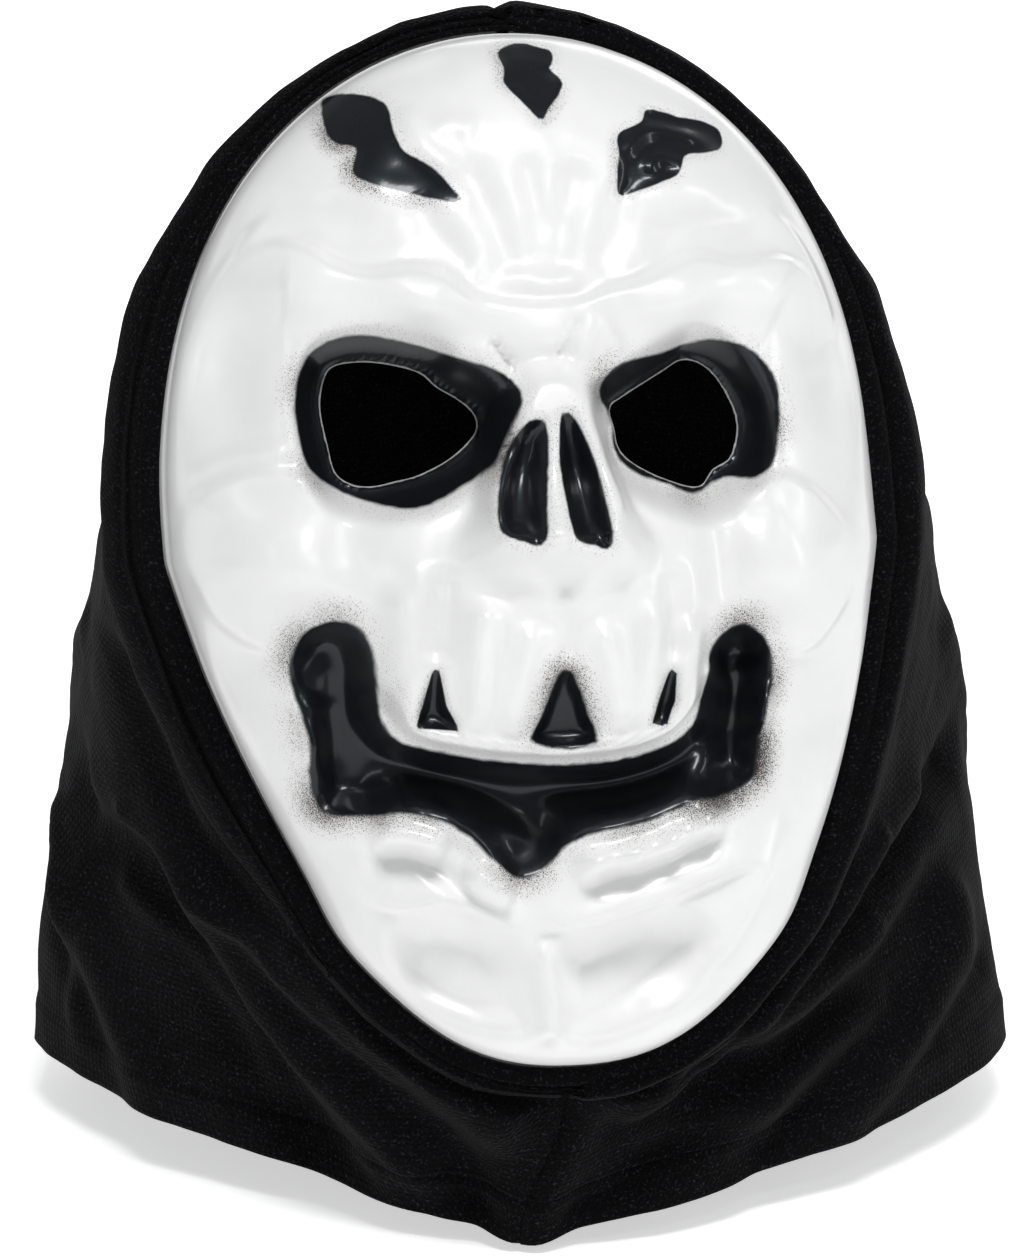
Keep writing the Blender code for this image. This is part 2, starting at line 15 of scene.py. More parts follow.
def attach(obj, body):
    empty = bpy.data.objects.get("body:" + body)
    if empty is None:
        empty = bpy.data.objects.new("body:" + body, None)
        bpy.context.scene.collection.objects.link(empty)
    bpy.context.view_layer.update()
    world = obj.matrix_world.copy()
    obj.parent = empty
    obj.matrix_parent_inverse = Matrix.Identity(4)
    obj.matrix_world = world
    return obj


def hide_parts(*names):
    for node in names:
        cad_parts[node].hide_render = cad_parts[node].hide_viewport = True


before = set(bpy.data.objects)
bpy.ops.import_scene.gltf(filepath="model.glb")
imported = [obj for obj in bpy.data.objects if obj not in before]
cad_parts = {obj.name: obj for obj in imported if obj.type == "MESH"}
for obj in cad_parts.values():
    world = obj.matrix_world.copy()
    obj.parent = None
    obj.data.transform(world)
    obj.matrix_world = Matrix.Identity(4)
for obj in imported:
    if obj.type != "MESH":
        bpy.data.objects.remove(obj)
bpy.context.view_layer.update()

print("pieces of the solid model:", sorted(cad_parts))

# %% [markdown]
# Sizes come first. The mask has a plane of its own, which leans back: u runs to the right of a viewer, w
# runs up the face and d comes forward out of it. All sizes below are in millimetres, and points become
# metres at the very end.

# %% The mask's own plane
MM = 0.001
MASK_CENTRE = np.array([0.0, -108.0, -100.0])
MASK_LEAN = math.radians(13.0)
MASK_HALF_WIDTH = 90.5
MASK_HALF_HEIGHT = 130.0
CHIN_SHIFT = 7.0          # the lower face sits this far to the right of the upper face
CHIN_FORWARD = 18.0       # the edge under the chin lies this far in front of the edge at the temples
CHIN_STARTS = 25.0        # it comes forward from this far below the middle, over the next CHIN_RUN
CHIN_RUN = 115.0
MASK_WALL = 0.6

UP = np.array([0.0, math.sin(MASK_LEAN), math.cos(MASK_LEAN)])
FORWARD = np.array([0.0, -math.cos(MASK_LEAN), math.sin(MASK_LEAN)])
RIGHT = np.array([1.0, 0.0, 0.0])


def soft_step(x):
    """0 below 0, 1 above 1, and a soft step between."""
    x = np.clip(x, 0.0, 1.0)
    return x * x * (3.0 - 2.0 * x)


def bell(x):
    """1 at 0, and a soft fall to almost 0 at 2 on both sides."""
    return np.exp(-x * x)


def in_space(u, w, d):
    """Points of the mask's plane, as rows of x, y and z."""
    u, w, d = np.broadcast_arrays(u, w, d)
    return MASK_CENTRE + u[..., None] * RIGHT + w[..., None] * UP + d[..., None] * FORWARD


def edge_depth(w):
    """Depth of the mask's edge in front of its plane."""
    return CHIN_FORWARD * soft_step((-w - CHIN_STARTS) / CHIN_RUN)


print("the chin's edge comes", float(edge_depth(-MASK_HALF_HEIGHT)), "mm in front of the plane")

# %% [markdown]
# The outline is an oval above and a narrower jaw below. One formula gives 0 in the middle of the mask and 1
# on its edge, and every other shape here asks that formula how near the edge it is. A formula is easier to
# change than a list of points, and it has no corners.

# %% Outline of the mask
JAW_STARTS = 30.0         # below this height the middle line moves sideways, over the next JAW_RUN
JAW_RUN = 120.0
JAW_CORNER = {"w": -97.0, "reach": 12.0, "out": 3.0}
FOREHEAD_POWER = 2.5      # 2 is an oval, and more is squarer
JAW_POWER = 1.2           # 1 is a straight line to the chin


def centre_line(w):
    """The u of the mask's middle at each height."""
    return CHIN_SHIFT * soft_step((JAW_STARTS - w) / JAW_RUN)


def outline_value(u, w):
    """0 in the middle of the mask, 1 on its edge, and more outside it."""
    corner = JAW_CORNER["out"] * bell((w - JAW_CORNER["w"]) / JAW_CORNER["reach"])
    across = np.abs(u - centre_line(w)) / (MASK_HALF_WIDTH + corner)
    up = np.abs(w) / MASK_HALF_HEIGHT
    below = across ** (2.0 + 0.4 * soft_step(up * 4.0)) + up ** JAW_POWER
    return np.where(w >= 0.0, across ** 2 + up ** FOREHEAD_POWER, below)


def inside_points(angle, share):
    """Points of the mask by their angle from the chin and their share of the way to the edge."""
    low, high = np.zeros_like(angle), np.full_like(angle, 200.0)
    for _ in range(26):      # each round halves the gap between a place inside and one outside
        middle = (low + high) / 2.0
        x, w = middle * np.sin(angle), -middle * np.cos(angle)
        inside = outline_value(x + centre_line(w), w) < 1.0
        low, high = np.where(inside, middle, low), np.where(inside, high, middle)
    x, w = low * share * np.sin(angle), -low * share * np.cos(angle)
    return x + centre_line(w), w


def even_steps(points, count):
    """count + 1 points at equal distances along a line of points."""
    lengths = np.concatenate([[0.0], np.cumsum(np.linalg.norm(np.diff(points, axis=0), axis=1))])
    wanted = np.linspace(0.0, lengths[-1], count + 1)
    return np.stack([np.interp(wanted, lengths, column) for column in points.T], axis=1)


def half_outline(side, count):
    """Edge of the mask from the chin to the top, on one side, as rows of u and w."""
    u, w = inside_points(side * np.linspace(0.0, math.pi, 721), 1.0)
    return even_steps(np.stack([u, w], axis=1), count)


print("the mask's edge is", round(float(np.ptp(half_outline(1, 200)[:, 1]))), "mm tall")

# %% [markdown]
# The face is a relief: one height for each place (u, w). It is a sum of a few kinds of feature, each kept
# as a row of a short table. A swell is a soft lump, a line is a ridge or a crease along some points, and a
# patch is a raised or sunk area inside a closed outline. Vacuum forming makes the same soft but clear
# shapes.

# %% Tools of the relief
FAR = 1e9                 # further than any place on the mask
TINY = 1e-9               # keeps a division from one by nought


def through(points, closed, steps=5):
    """A smooth line through some points (Catmull and Rom's spline)."""
    points = np.array(points, float)
    if closed:
        points = np.vstack([points[-1:], points, points[:2]])
    else:
        points = np.vstack([2 * points[0] - points[1], points, 2 * points[-1] - points[-2]])
    t = np.linspace(0.0, 1.0, steps, endpoint=False)[:, None]
    found = []
    for a, b, c, d in zip(points, points[1:], points[2:], points[3:]):
        bend, twist = 2 * a - 5 * b + 4 * c - d, 3 * b - a - 3 * c + d
        found.append(0.5 * (2 * b + (c - a) * t + bend * t ** 2 + twist * t ** 3))
    found = np.vstack(found)
    return found if closed else np.vstack([found, points[-2]])


FEATURE_SHIFT = [  # w, then how far the features there lie right of, and above, their places in the tables
    (-125, 0.8, -0.5), (-80, 2.0, -1.5), (-40, 1.9, -1.6), (0, 1.2, -0.8), (30, 0.8, -0.2), (60, 1.3, 0.0),
    (100, 2.4, 0.0), (130, 2.0, 0.6),
]


def moved(points):
    """Places of the tables, moved a little because the real face is moulded off its own middle."""
    points, shift = np.array(points, float), np.array(FEATURE_SHIFT)
    points[:, 0] += np.interp(points[:, 1], shift[:, 0], shift[:, 1])
    points[:, 1] += np.interp(points[:, 1], shift[:, 0], shift[:, 2])
    return points


def line_distance(line, u, w):
    """Distance of each place from a line, the share of the way along it, and the side: 1 on its right."""
    near, along, side = np.full(np.shape(u), FAR), np.zeros(np.shape(u)), np.ones(np.shape(u))
    for k, (a, b) in enumerate(zip(line, line[1:])):
        run = b - a
        share = np.clip(((u - a[0]) * run[0] + (w - a[1]) * run[1]) / max(run @ run, TINY), 0.0, 1.0)
        off_u, off_w = u - a[0] - share * run[0], w - a[1] - share * run[1]
        off = np.hypot(off_u, off_w)
        closer = off < near
        near = np.where(closer, off, near)
        along = np.where(closer, (k + share) / (len(line) - 1), along)
        side = np.where(closer, np.where(off_u * run[1] - off_w * run[0] > 0.0, 1.0, -1.0), side)
    return near, along, side


def loop_distance(loop, u, w):
    """Distance from a closed outline, less than nought inside it."""
    near = line_distance(np.vstack([loop, loop[:1]]), u, w)[0]
    inside = np.zeros(np.shape(u), bool)
    for a, b in zip(loop, np.roll(loop, -1, axis=0)):
        crosses = (a[1] > w) != (b[1] > w)
        rise = b[1] - a[1] if b[1] != a[1] else TINY
        inside ^= crosses & (u < a[0] + (b[0] - a[0]) * (w - a[1]) / rise)
    return np.where(inside, -near, near)


print("features near the chin move by", FEATURE_SHIFT[0][1:], "mm")

# %% [markdown]
# These are the outlines of the black paint and of the holes, in the mask's plane. Such paint is sprayed
# through stencils, so its outlines are firm. The gaps between the teeth keep their corners here, and the
# others are smoothed.

# %% Outlines of holes and paint
EYE_HOLES = {
    "left": [(-52, 45), (-50, 48), (-46, 49), (-41, 49), (-35, 48), (-29, 46), (-25, 42.5), (-19.5, 39),
             (-16, 35.5), (-15.5, 32), (-17.5, 29), (-21, 26), (-25, 23.5), (-31, 21), (-36, 20), (-41, 19),
             (-46, 19.5), (-50, 22.5), (-51.5, 29), (-53, 38)],
    "right": [(18, 36), (22, 39), (31, 44), (37, 47), (43, 45), (48, 39), (51, 31), (49, 23), (44, 20),
              (40, 16), (32, 18), (24, 22), (20, 26), (19, 31)],
}
EYE_PAINT = {
    "left": [(-58, 49), (-53, 54), (-45, 56), (-34, 54), (-22, 50), (-11, 46), (-7, 41), (-9, 34), (-14, 24),
             (-22, 18), (-32, 14), (-41, 15), (-51, 19), (-57, 24), (-59, 30), (-60, 40)],
    "right": [(14, 41), (19, 47), (30, 49), (37, 51), (44, 52), (53, 49), (59, 42), (60, 33), (58, 22),
              (53, 18), (46, 18), (39, 14.5), (32, 17), (24, 20), (19, 25), (18, 34)],
}
NOSTRILS = {
    "left": [(-8, 32), (-5, 34.5), (-2, 34), (-1.5, 28), (-3, 17), (-5, 6), (-10, 6.5), (-15, 9),
             (-14.5, 17), (-12, 25)],
    "right": [(2.5, 36), (5, 35), (8, 29), (10.5, 20), (11.5, 5), (7, 5), (2.5, 7), (1.5, 15), (1, 24),
              (1.5, 32)],
}
MOUTH = [(-63, -20), (-60, -15), (-54, -12.5), (-48, -14), (-45, -19), (-44, -27), (-43, -36), (-39, -42),
         (-30, -45), (-15, -48), (0, -49.5), (15, -49), (27, -46), (34, -41), (36.5, -33), (38, -24),
         (42, -19), (48, -17), (54, -22), (55.5, -30), (53, -38), (51.5, -48), (49.5, -56), (42, -59),
         (33, -60), (22, -64), (10, -66), (2, -69), (-4, -75), (-11, -77), (-16, -73), (-22, -67),
         (-29, -62), (-38, -60), (-48, -61), (-57, -60), (-60, -52), (-60, -43), (-62, -34), (-64, -26)]
TOOTH_GAPS = {
    "left": [(-31.5, -24), (-30, -24), (-28.5, -33), (-25.5, -39), (-31, -38.5), (-36, -38)],
    "middle": [(-1, -25), (2, -25.5), (5, -33), (8.5, -43), (2, -44.5), (-4, -44), (-8.5, -42), (-5, -35)],
    "right": [(26.5, -26), (28, -27), (27.5, -34), (25, -40), (21.5, -39), (23.5, -33)],
}
FOREHEAD_MARKS = {
    "left": [(-49, 114), (-42, 115), (-35.5, 112.5), (-34.5, 107.5), (-34, 104), (-32, 100), (-27, 97),
             (-22, 92), (-19.5, 87.5), (-31, 90), (-41, 93), (-45, 96), (-43.5, 101.5), (-48, 103),
             (-50, 106.5)],
    "centre": [(-6, 124), (-2, 126), (1, 126.2), (5, 125), (7.5, 124), (7, 121), (6, 119.5), (8.5, 116.5),
               (7.5, 113.5), (4, 109.5), (2, 107), (-1, 110), (-4, 113.5), (-6, 116.5), (-5.3, 120)],
    "right": [(21, 103), (27.5, 106), (30, 109), (38, 107), (44, 106), (48.5, 104), (49.2, 101),
              (47.5, 98.8), (43, 98), (38, 97.5), (35.5, 93), (31, 91), (25, 89), (20.5, 88), (19.8, 92),
              (20.5, 98)],
}
PAINTED = {
    "eye left": (through(moved(EYE_PAINT["left"]), True), 1.6),
    "eye right": (through(moved(EYE_PAINT["right"]), True), 1.8),
    "nostril left": (through(moved(NOSTRILS["left"]), True), 1.2),
    "nostril right": (through(moved(NOSTRILS["right"]), True), 1.2),
    "mouth": (through(moved(MOUTH), True), 2.0),
    "gap left": (moved(TOOTH_GAPS["left"]), 0.6),
    "gap middle": (moved(TOOTH_GAPS["middle"]), 1.6),
    "gap right": (moved(TOOTH_GAPS["right"]), 0.6),
    "mark left": (through(moved(FOREHEAD_MARKS["left"]), True, 4), 1.2),
    "mark centre": (through(moved(FOREHEAD_MARKS["centre"]), True, 4), 1.0),
    "mark right": (through(moved(FOREHEAD_MARKS["right"]), True, 4), 0.9),
}     # outline, and how far its edge fades, in mm
HOLES = {side: through(moved(points), True) for side, points in EYE_HOLES.items()}
print("painted areas:", ", ".join(PAINTED))

# %% [markdown]
# Now the tables of the relief. The order is from the large forms to the small ones: cheekbones and brow,
# nose and upper jaw, then the creases, the tooth roots and the dents of the chin.

# %% Tables of the relief
SWELLS = [  # name, u, w, half width, half height, turn in degrees, height
    ("cheekbone left", -66, 1, 21, 15, -8, 9.5),
    ("cheekbone right", 60, -3, 20, 16, 10, 9.5),
    ("cheek lump left", -54, -3, 9, 6, -20, 1.6),
    ("cheek lump left low", -70, -8, 10, 6, 20, 1.6),
    ("cheek lump right", 64, -10, 8, 7, 0, 1.5),
    ("cheek lump right high", 50, 4, 8, 6, 0, 1.2),
    ("under cheek left", -74, -32, 12, 18, 0, -6.0),
    ("under cheek right", 73, -36, 12, 18, 0, -6.0),
    ("hollow beside the muzzle left", -50, 4, 7, 14, 0, -2.5),
    ("hollow beside the muzzle right", 43, 0, 6, 14, 0, -2.5),
    ("temple left", -76, 50, 9, 20, 0, -6.0),
    ("temple right", 76, 45, 8, 20, 0, -6.0),
    ("brow left outer", -61, 68, 13, 8, -8, 5.0),
    ("brow left inner", -30, 63, 12, 7, -20, 5.5),
    ("brow right inner", 36, 63, 12, 7, 18, 5.5),
    ("brow right outer", 58, 63, 11, 8, 0, 4.5),
    ("brow middle", 1, 55, 13, 6, 0, 4.0),
    ("forehead left", -40, 96, 14, 10, 30, 2.5),
    ("forehead right", 34, 92, 14, 9, -20, 2.5),
    ("forehead middle", 0, 102, 22, 18, 0, 1.5),
    ("muzzle", -3, -18, 27, 18, 0, 5.0),
    ("chin", 2, -114, 34, 12, 0, 4.5),
    ("jaw left", -52, -80, 12, 10, -40, 3.0),
    ("jaw right", 54, -76, 12, 10, 40, 3.0),
]
# name, height, width of the rise, how far the raised side reaches, points: the raised side is on the right
STEPS = [
    ("brow left", 5.1, 3.0, 13.0, [(-80, 72), (-66, 79), (-57, 78), (-50, 73.5), (-42, 71), (-32, 72),
                                   (-24, 70), (-18, 65), (-12, 61)]),
    ("brow right", 4.8, 3.4, 13.0, [(8, 61), (14, 65), (23, 67), (32, 71), (40, 73), (50, 71), (61, 72),
                                    (68, 69), (73, 62)]),
    ("fold over the nose", 2.4, 2.4, 5.0, [(-21, 67), (-12, 63.5), (-3, 62.5), (6, 62.5), (12, 63.5),
                                           (19, 66)]),
    ("cheek left", 3.0, 4.0, 10.0, [(-89, 8), (-84, 18), (-74, 23.5), (-60, 23), (-48, 16)]),
    ("cheek left high", 2.1, 4.0, 7.0, [(-88, 22), (-80, 27), (-68, 30), (-60, 29)]),
    ("cheek right", 3.0, 3.4, 10.0, [(46, 12), (54, 17), (61, 18.5), (70, 13), (81, 0)]),
    ("cheek right low", 2.4, 3.4, 8.0, [(80, -8), (74, -18), (66, -25), (54, -24)]),
    ("cheek left low", 3.3, 4.0, 9.0, [(-66, -22), (-76, -17), (-83, -9), (-87, 2)]),
    ("temple left", 3.3, 3.0, 8.0, [(-88, 50), (-83, 61), (-77, 73), (-70, 82), (-62, 89)]),
    ("temple right", 3.3, 3.0, 8.0, [(58, 85), (66, 79), (72, 70), (77, 60), (80, 50)]),
    ("chin left", 2.7, 2.4, 6.0, [(-11, -92), (-20, -86), (-29, -83.5), (-40, -85), (-54, -81)]),
    ("chin right", 3.0, 2.4, 7.0, [(54, -77), (42, -79.5), (24, -86), (10, -90), (-2, -90.5), (-9, -94)]),
    ("jaw right", 2.1, 2.6, 7.0, [(57, -72), (52, -84), (45, -97), (35, -109)]),
]
LINES = [  # name, height, half width, points
    ("second fold over the nose", 1.4, 2.4, [(-12, 67), (-6, 69), (0, 67), (6, 68), (11, 67)]),
    ("furrow left", -2.1, 4.2, [(-6, 66), (-9, 77), (-14, 89), (-20, 101)]),
    ("furrow middle", -1.7, 3.2, [(-1, 68), (-1, 84), (-4, 101)]),
    ("furrow right", -2.1, 4.0, [(4, 66), (6, 82), (11, 99)]),
    ("furrow far right", -1.7, 4.5, [(12, 68), (19, 80), (22, 92)]),
    ("furrow far left", -1.7, 4.5, [(-15, 70), (-25, 80), (-30, 91)]),
    ("upper fold left", -1.7, 5.0, [(-72, 85), (-60, 88), (-50, 86), (-40, 82)]),
    ("upper fold right", -1.7, 5.0, [(24, 77), (42, 81), (60, 78)]),
    ("crown fold", -2.0, 5.0, [(-46, 120), (-30, 119), (-14, 124)]),
    ("rim of the left mark", 1.7, 3.0, [(-31, 113), (-29, 106), (-26, 100), (-18, 93)]),
    ("fold beside the left mark", 1.4, 3.0, [(-26, 104), (-20, 107), (-14, 104)]),
    ("cut left of the nose", -2.4, 1.1, [(-14, 55), (-9.5, 49), (-5.5, 43.5)]),
    ("cut right of the nose", -1.8, 1.1, [(9, 60), (5, 52.5), (1.5, 46)]),
    ("bridge fold left", 1.7, 2.4, [(-18, 54), (-13, 48), (-9, 42)]),
    ("bridge fold right", 1.7, 2.4, [(14, 60), (10, 52), (7, 45)]),
    ("root far left", 3.6, 4.0, [(-38, -2), (-38.5, -20), (-37, -38)]),
    ("root left", 4.5, 4.2, [(-18, -6), (-20.5, -20), (-22, -42)]),
    ("root inner left", 3.6, 3.6, [(-7, -12), (-11, -26), (-14, -42)]),
    ("root inner right", 3.9, 3.8, [(8, -12), (12, -26), (13.5, -42)]),
    ("root right", 3.6, 3.6, [(24, -6), (21, -26), (19, -42)]),
    ("root far right", 3.4, 3.6, [(33, -12), (32, -26), (30, -38)]),
    ("valley left", -3.4, 3.6, [(-27, 2), (-29, -12), (-31, -24)]),
    ("valley middle", -2.5, 4.0, [(0, -2), (1, -14), (1, -24)]),
    ("valley right", -3.1, 3.2, [(28, 0), (28, -14), (27, -26)]),
    ("arch over the teeth", 1.7, 3.2, [(-22, -8), (-14, -2), (-5, -5), (1, -9), (8, -5), (16, -1), (24, -6)]),
    ("lip of the muzzle", 2.2, 2.2, [(-40, -30), (-36, -38), (-27, -41.5), (-13, -44), (2, -44.8),
                                     (16, -43.5), (25, -40.5), (31, -35), (34, -28)]),
    ("roll in the mouth left", 5.0, 3.4, [(-58, -16), (-57.5, -34), (-57, -46), (-54, -62)]),
    ("mark in the mouth left", 1.2, 0.9, [(-62, -33), (-56, -34.5), (-52, -33)]),
    ("swell in the mouth left", 7.5, 4.6, [(-48, -54), (-36, -56), (-27, -59), (-17, -65), (-9, -70),
                                           (-3, -73)]),
    ("swell in the mouth right", 7.5, 4.8, [(-9, -66), (3, -63), (16, -61.5), (28, -57.5), (38, -51),
                                            (44, -45)]),
    ("fold in the mouth right", 5.5, 3.2, [(38, -24), (41.5, -33), (40.5, -45)]),
    ("fold in the mouth far right", 4.5, 3.0, [(48, -25), (52, -35), (51, -45)]),
    ("ridge in the right mark", 2.6, 2.2, [(21, 95), (24, 101), (30, 104), (38, 102.5), (49, 99)]),
    ("bend in the right mark", 1.8, 1.6, [(27, 93), (31, 97), (38, 95)]),
    ("ridge in the centre mark", 1.0, 1.4, [(-4, 117), (-1, 112), (4, 108)]),
    ("lower teeth left", 7.3, 3.6, [(-47, -64.5), (-37, -65.5), (-27, -69)]),
    ("lower teeth left, inner", 6.4, 3.6, [(-24, -73.5), (-18, -78), (-11, -81)]),
    ("gum left", -2.8, 3.0, [(-50, -72), (-36, -71.5), (-27, -77), (-20, -83), (-11, -87)]),
    ("lower teeth right", 5.6, 3.8, [(0, -75.5), (12, -73), (24, -70.5), (34, -66), (44, -60)]),
    ("gum right", -2.5, 3.0, [(3, -80), (16, -78), (30, -73.5), (46, -67)]),
    ("chin ridge", 3.1, 3.2, [(-5, -92), (-3, -108), (-1, -124)]),
    ("chin corner left", 2.0, 2.4, [(-48, -100), (-42, -106), (-37, -110)]),
]
TEETH_RIGHT = [  # u, w, half width, height of the separate lower teeth
    (7, -74, 5.0, 3.6), (18, -72.5, 4.0, 3.2), (27.5, -69.5, 3.8, 3.2), (37.5, -64.5, 4.4, 4.0),
]
NOSE = [(-6, 44), (-1, 46.5), (5, 46), (10, 42), (13, 33), (16, 20), (18, 8), (16, 2.5), (2, 1.5), (-14, 2.5),
        (-18, 7), (-16, 18), (-12, 32)]
UPPER_JAW = [(-40, 0), (-42, -14), (-42, -26), (-40, -35), (-36, -40), (-27, -43), (-13, -45.5), (2, -46.5),
             (16, -45.5), (26, -42.5), (32, -37.5), (35, -31), (36, -22), (36, -8), (30, 4), (8, 8),
             (-16, 8), (-32, 5)]
CHIN_DISHES = {
    "left": [(-38, -94), (-31, -89), (-20, -91), (-12, -97), (-8, -107), (-10, -115), (-24, -115),
             (-36, -108)],
    "right": [(2, -98), (9, -94), (22, -90), (34, -93), (37, -100), (28, -109), (14, -117), (4, -118),
              (1, -108)],
}
print("rows of the relief:", len(SWELLS), "swells,", len(STEPS), "steps and", len(LINES), "lines")

# %% [markdown]
# Each kind of feature has its own short function. They add up, and the dome of the whole face comes last. A
# patch needs a depth and the width of its slope: a steep slope looks cut, and a wide one looks moulded.
# Near the mask's edge all features fade out, because the edge is a plain band.

# %% The relief
DOME_HEIGHT = 53.0
DOME_POWER = 0.42         # 0.5 is a ball, and less is flatter in the middle and steeper at the edge
BAND = 0.12               # share of the way in from the edge where the features fade out
UPPER_JAW_HEIGHT = 12.0
MOUTH_DEPTH = 12.0
MOUTH_SLOPE = 7.0
NOSTRIL_DEPTH = 8.0
NOSTRIL_SLOPE = 6.5
GAP_DEPTHS = {"left": 4.0, "middle": 6.0, "right": 3.5}
GAP_SLOPE = 4.0
CHIN_DISH_DEPTH = 9.5
CHIN_DISH_SLOPE = 13.0
EYE_DEPTH = 14.0
EYE_RIM = 10.0            # the painted slope round an eye hole
MARK_DEPTHS = {"left": 0.8, "centre": 1.6, "right": 2.6}
MARK_SLOPE = 5.0


def patch(loop, slope, start, u, w):
    """1 inside a closed outline and 0 outside it. The slope starts at that share of its width outside."""
    return soft_step(start - loop_distance(loop, u, w) / slope)


def fading_ends(along, share):
    return soft_step(along / share) * soft_step((1.0 - along) / share)


def swells(u, w):
    change = np.zeros(np.shape(u))
    for _, mid_u, mid_w, wide, tall, turn, height in SWELLS:
        mid_u, mid_w = moved([(mid_u, mid_w)])[0]
        c, s = math.cos(math.radians(turn)), math.sin(math.radians(turn))
        x, y = (u - mid_u) * c + (w - mid_w) * s, (w - mid_w) * c - (u - mid_u) * s
        change += height * np.exp(-((x / wide) ** 2) - (y / tall) ** 2)
    for mid_u, mid_w, wide, height in TEETH_RIGHT:
        mid_u, mid_w = moved([(mid_u, mid_w)])[0]
        change += height * bell(np.hypot(u - mid_u, w - mid_w) / wide)
    return change


def steps(u, w):
    change = np.zeros(np.shape(u))
    for _, height, rise, reach, points in STEPS:
        off, along, side = line_distance(through(moved(points), False, 4), u, w)
        signed = off * side
        raised = soft_step(0.5 + signed / rise) * bell(np.maximum(signed, 0.0) / reach)
        change += height * fading_ends(along, 0.25) * raised
    return change


def lines(u, w):
    change = np.zeros(np.shape(u))
    for _, height, wide, points in LINES:
        off, along, _ = line_distance(through(moved(points), False, 4), u, w)
        change += height * fading_ends(along, 0.22) * bell(off / wide)
    return change


def patches(u, w):
    jaw_slope = 4.5 + 26.0 * soft_step((w + 40.0) / 32.0)      # sharp at the lip, soft under the cheeks
    change = UPPER_JAW_HEIGHT * patch(through(moved(UPPER_JAW), True), jaw_slope, 0.5, u, w)
    nose_slope = 6.0 + 2.0 * soft_step((w - 14.0) / 26.0) + 13.0 * soft_step((14.0 - w) / 13.0)
    nose_height = 10.0 + 9.0 * np.clip((44.0 - w) / 36.0, 0.0, 1.0)
    change += nose_height * patch(through(moved(NOSE), True), nose_slope, 0.5, u, w)
    change -= MOUTH_DEPTH * patch(PAINTED["mouth"][0], MOUTH_SLOPE, 0.1, u, w)
    for side in NOSTRILS:
        change -= NOSTRIL_DEPTH * patch(PAINTED["nostril " + side][0], NOSTRIL_SLOPE, 0.25, u, w)
    for side, depth in GAP_DEPTHS.items():
        change -= depth * patch(PAINTED["gap " + side][0], GAP_SLOPE, 0.3, u, w)
    for loop in CHIN_DISHES.values():
        change -= CHIN_DISH_DEPTH * patch(through(moved(loop), True), CHIN_DISH_SLOPE, 0.5, u, w)
    for loop in HOLES.values():
        change -= EYE_DEPTH * patch(loop, EYE_RIM, 1.0, u, w)
    for side, depth in MARK_DEPTHS.items():
        change -= depth * patch(PAINTED["mark " + side][0], MARK_SLOPE, 0.5, u, w)
    return change


def relief(u, w):
    """Depth of the face in front of the mask's plane."""
    inward = 1.0 - outline_value(u, w)
    features = swells(u, w) + steps(u, w) + patches(u, w) + lines(u, w)
    dome = DOME_HEIGHT * np.clip(inward, 0.0, 1.0) ** DOME_POWER
    return edge_depth(w) + dome + soft_step(inward / BAND) * features


nose_tip = float(relief(np.array([1.0]), np.array([8.0]))[0])
print("the tip of the nose stands", round(nose_tip, 1), "mm in front of the plane")

# %% [markdown]
# Every sheet here starts as a flat grid, from one operator, whose points then move to their places. A few
# helpers are shared: they read and set the points, make the object, give it its wall and keep numbers at
# its points.

# %% Helpers for meshes
def grid(columns, rows):
    """A flat bmesh grid whose points have whole numbers for x and y."""
    bm = bmesh.new()
    bmesh.ops.create_grid(bm, x_segments=columns, y_segments=rows, size=0.5)
    for vertex in bm.verts:
        x, y = (vertex.co.x + 0.5) * columns, (vertex.co.y + 0.5) * rows
        vertex.co = Vector((round(x), round(y), 0.0))
    return bm


def places_of(bm):
    return np.array([vertex.co for vertex in bm.verts])


def set_places(bm, places):
    for vertex, place in zip(bm.verts, places):
        vertex.co = place


def add_object(name, bm):
    mesh = bpy.data.meshes.new(name)
    bm.to_mesh(mesh)
    bm.free()
    mesh.shade_smooth()
    made = bpy.data.objects.new(name, mesh)
    bpy.context.scene.collection.objects.link(made)
    return made


def give_wall(piece, thickness, inner_slot=0):
    """Makes an open sheet a closed one, with its wall inside the surface that was modelled."""
    solidify = piece.modifiers.new("wall", "SOLIDIFY")
    solidify.thickness = thickness * MM
    solidify.offset = -1.0
    solidify.material_offset = inner_slot
    solidify.material_offset_rim = inner_slot


def store(mesh, name, values):
    """Keeps one number at each point of a mesh, for a material to read."""
    kept = mesh.attributes.new(name, "FLOAT", "POINT")
    kept.data.foreach_set("value", np.asarray(values, np.float32))


def rough(places, size, seed):
    """Smooth noise at some places, about -1 to 1, whose lumps are of that size."""
    return np.array([noise.noise(Vector(place) / size + Vector((seed, 0.0, 0.0))) for place in places])

# %% [markdown]
# The face is one grid. A square is rounded to the outline, so that no rows of faces meet in a pole. The
# points next to an eye hole are pulled onto its outline, and the faces inside it are deleted, which leaves
# a clean cut, as a knife does. The faces beside the cut are then evened out, because a pulled point leaves
# them uneven.

# %% The flat face with its holes
MASK_COLUMNS = 186
MASK_ROWS = 226
CROWDING = 0.2             # moves the rows outwards a little, to where the face is steep
CUT_REACH = 0.75           # points this near an eye hole's outline are pulled onto it
RIM_REACH = 3.0            # and so are points on the edge of the cut, when they are this near
EVEN_REACH = 6.0           # points this near the cut are evened out
EVEN_ROUNDS = 8


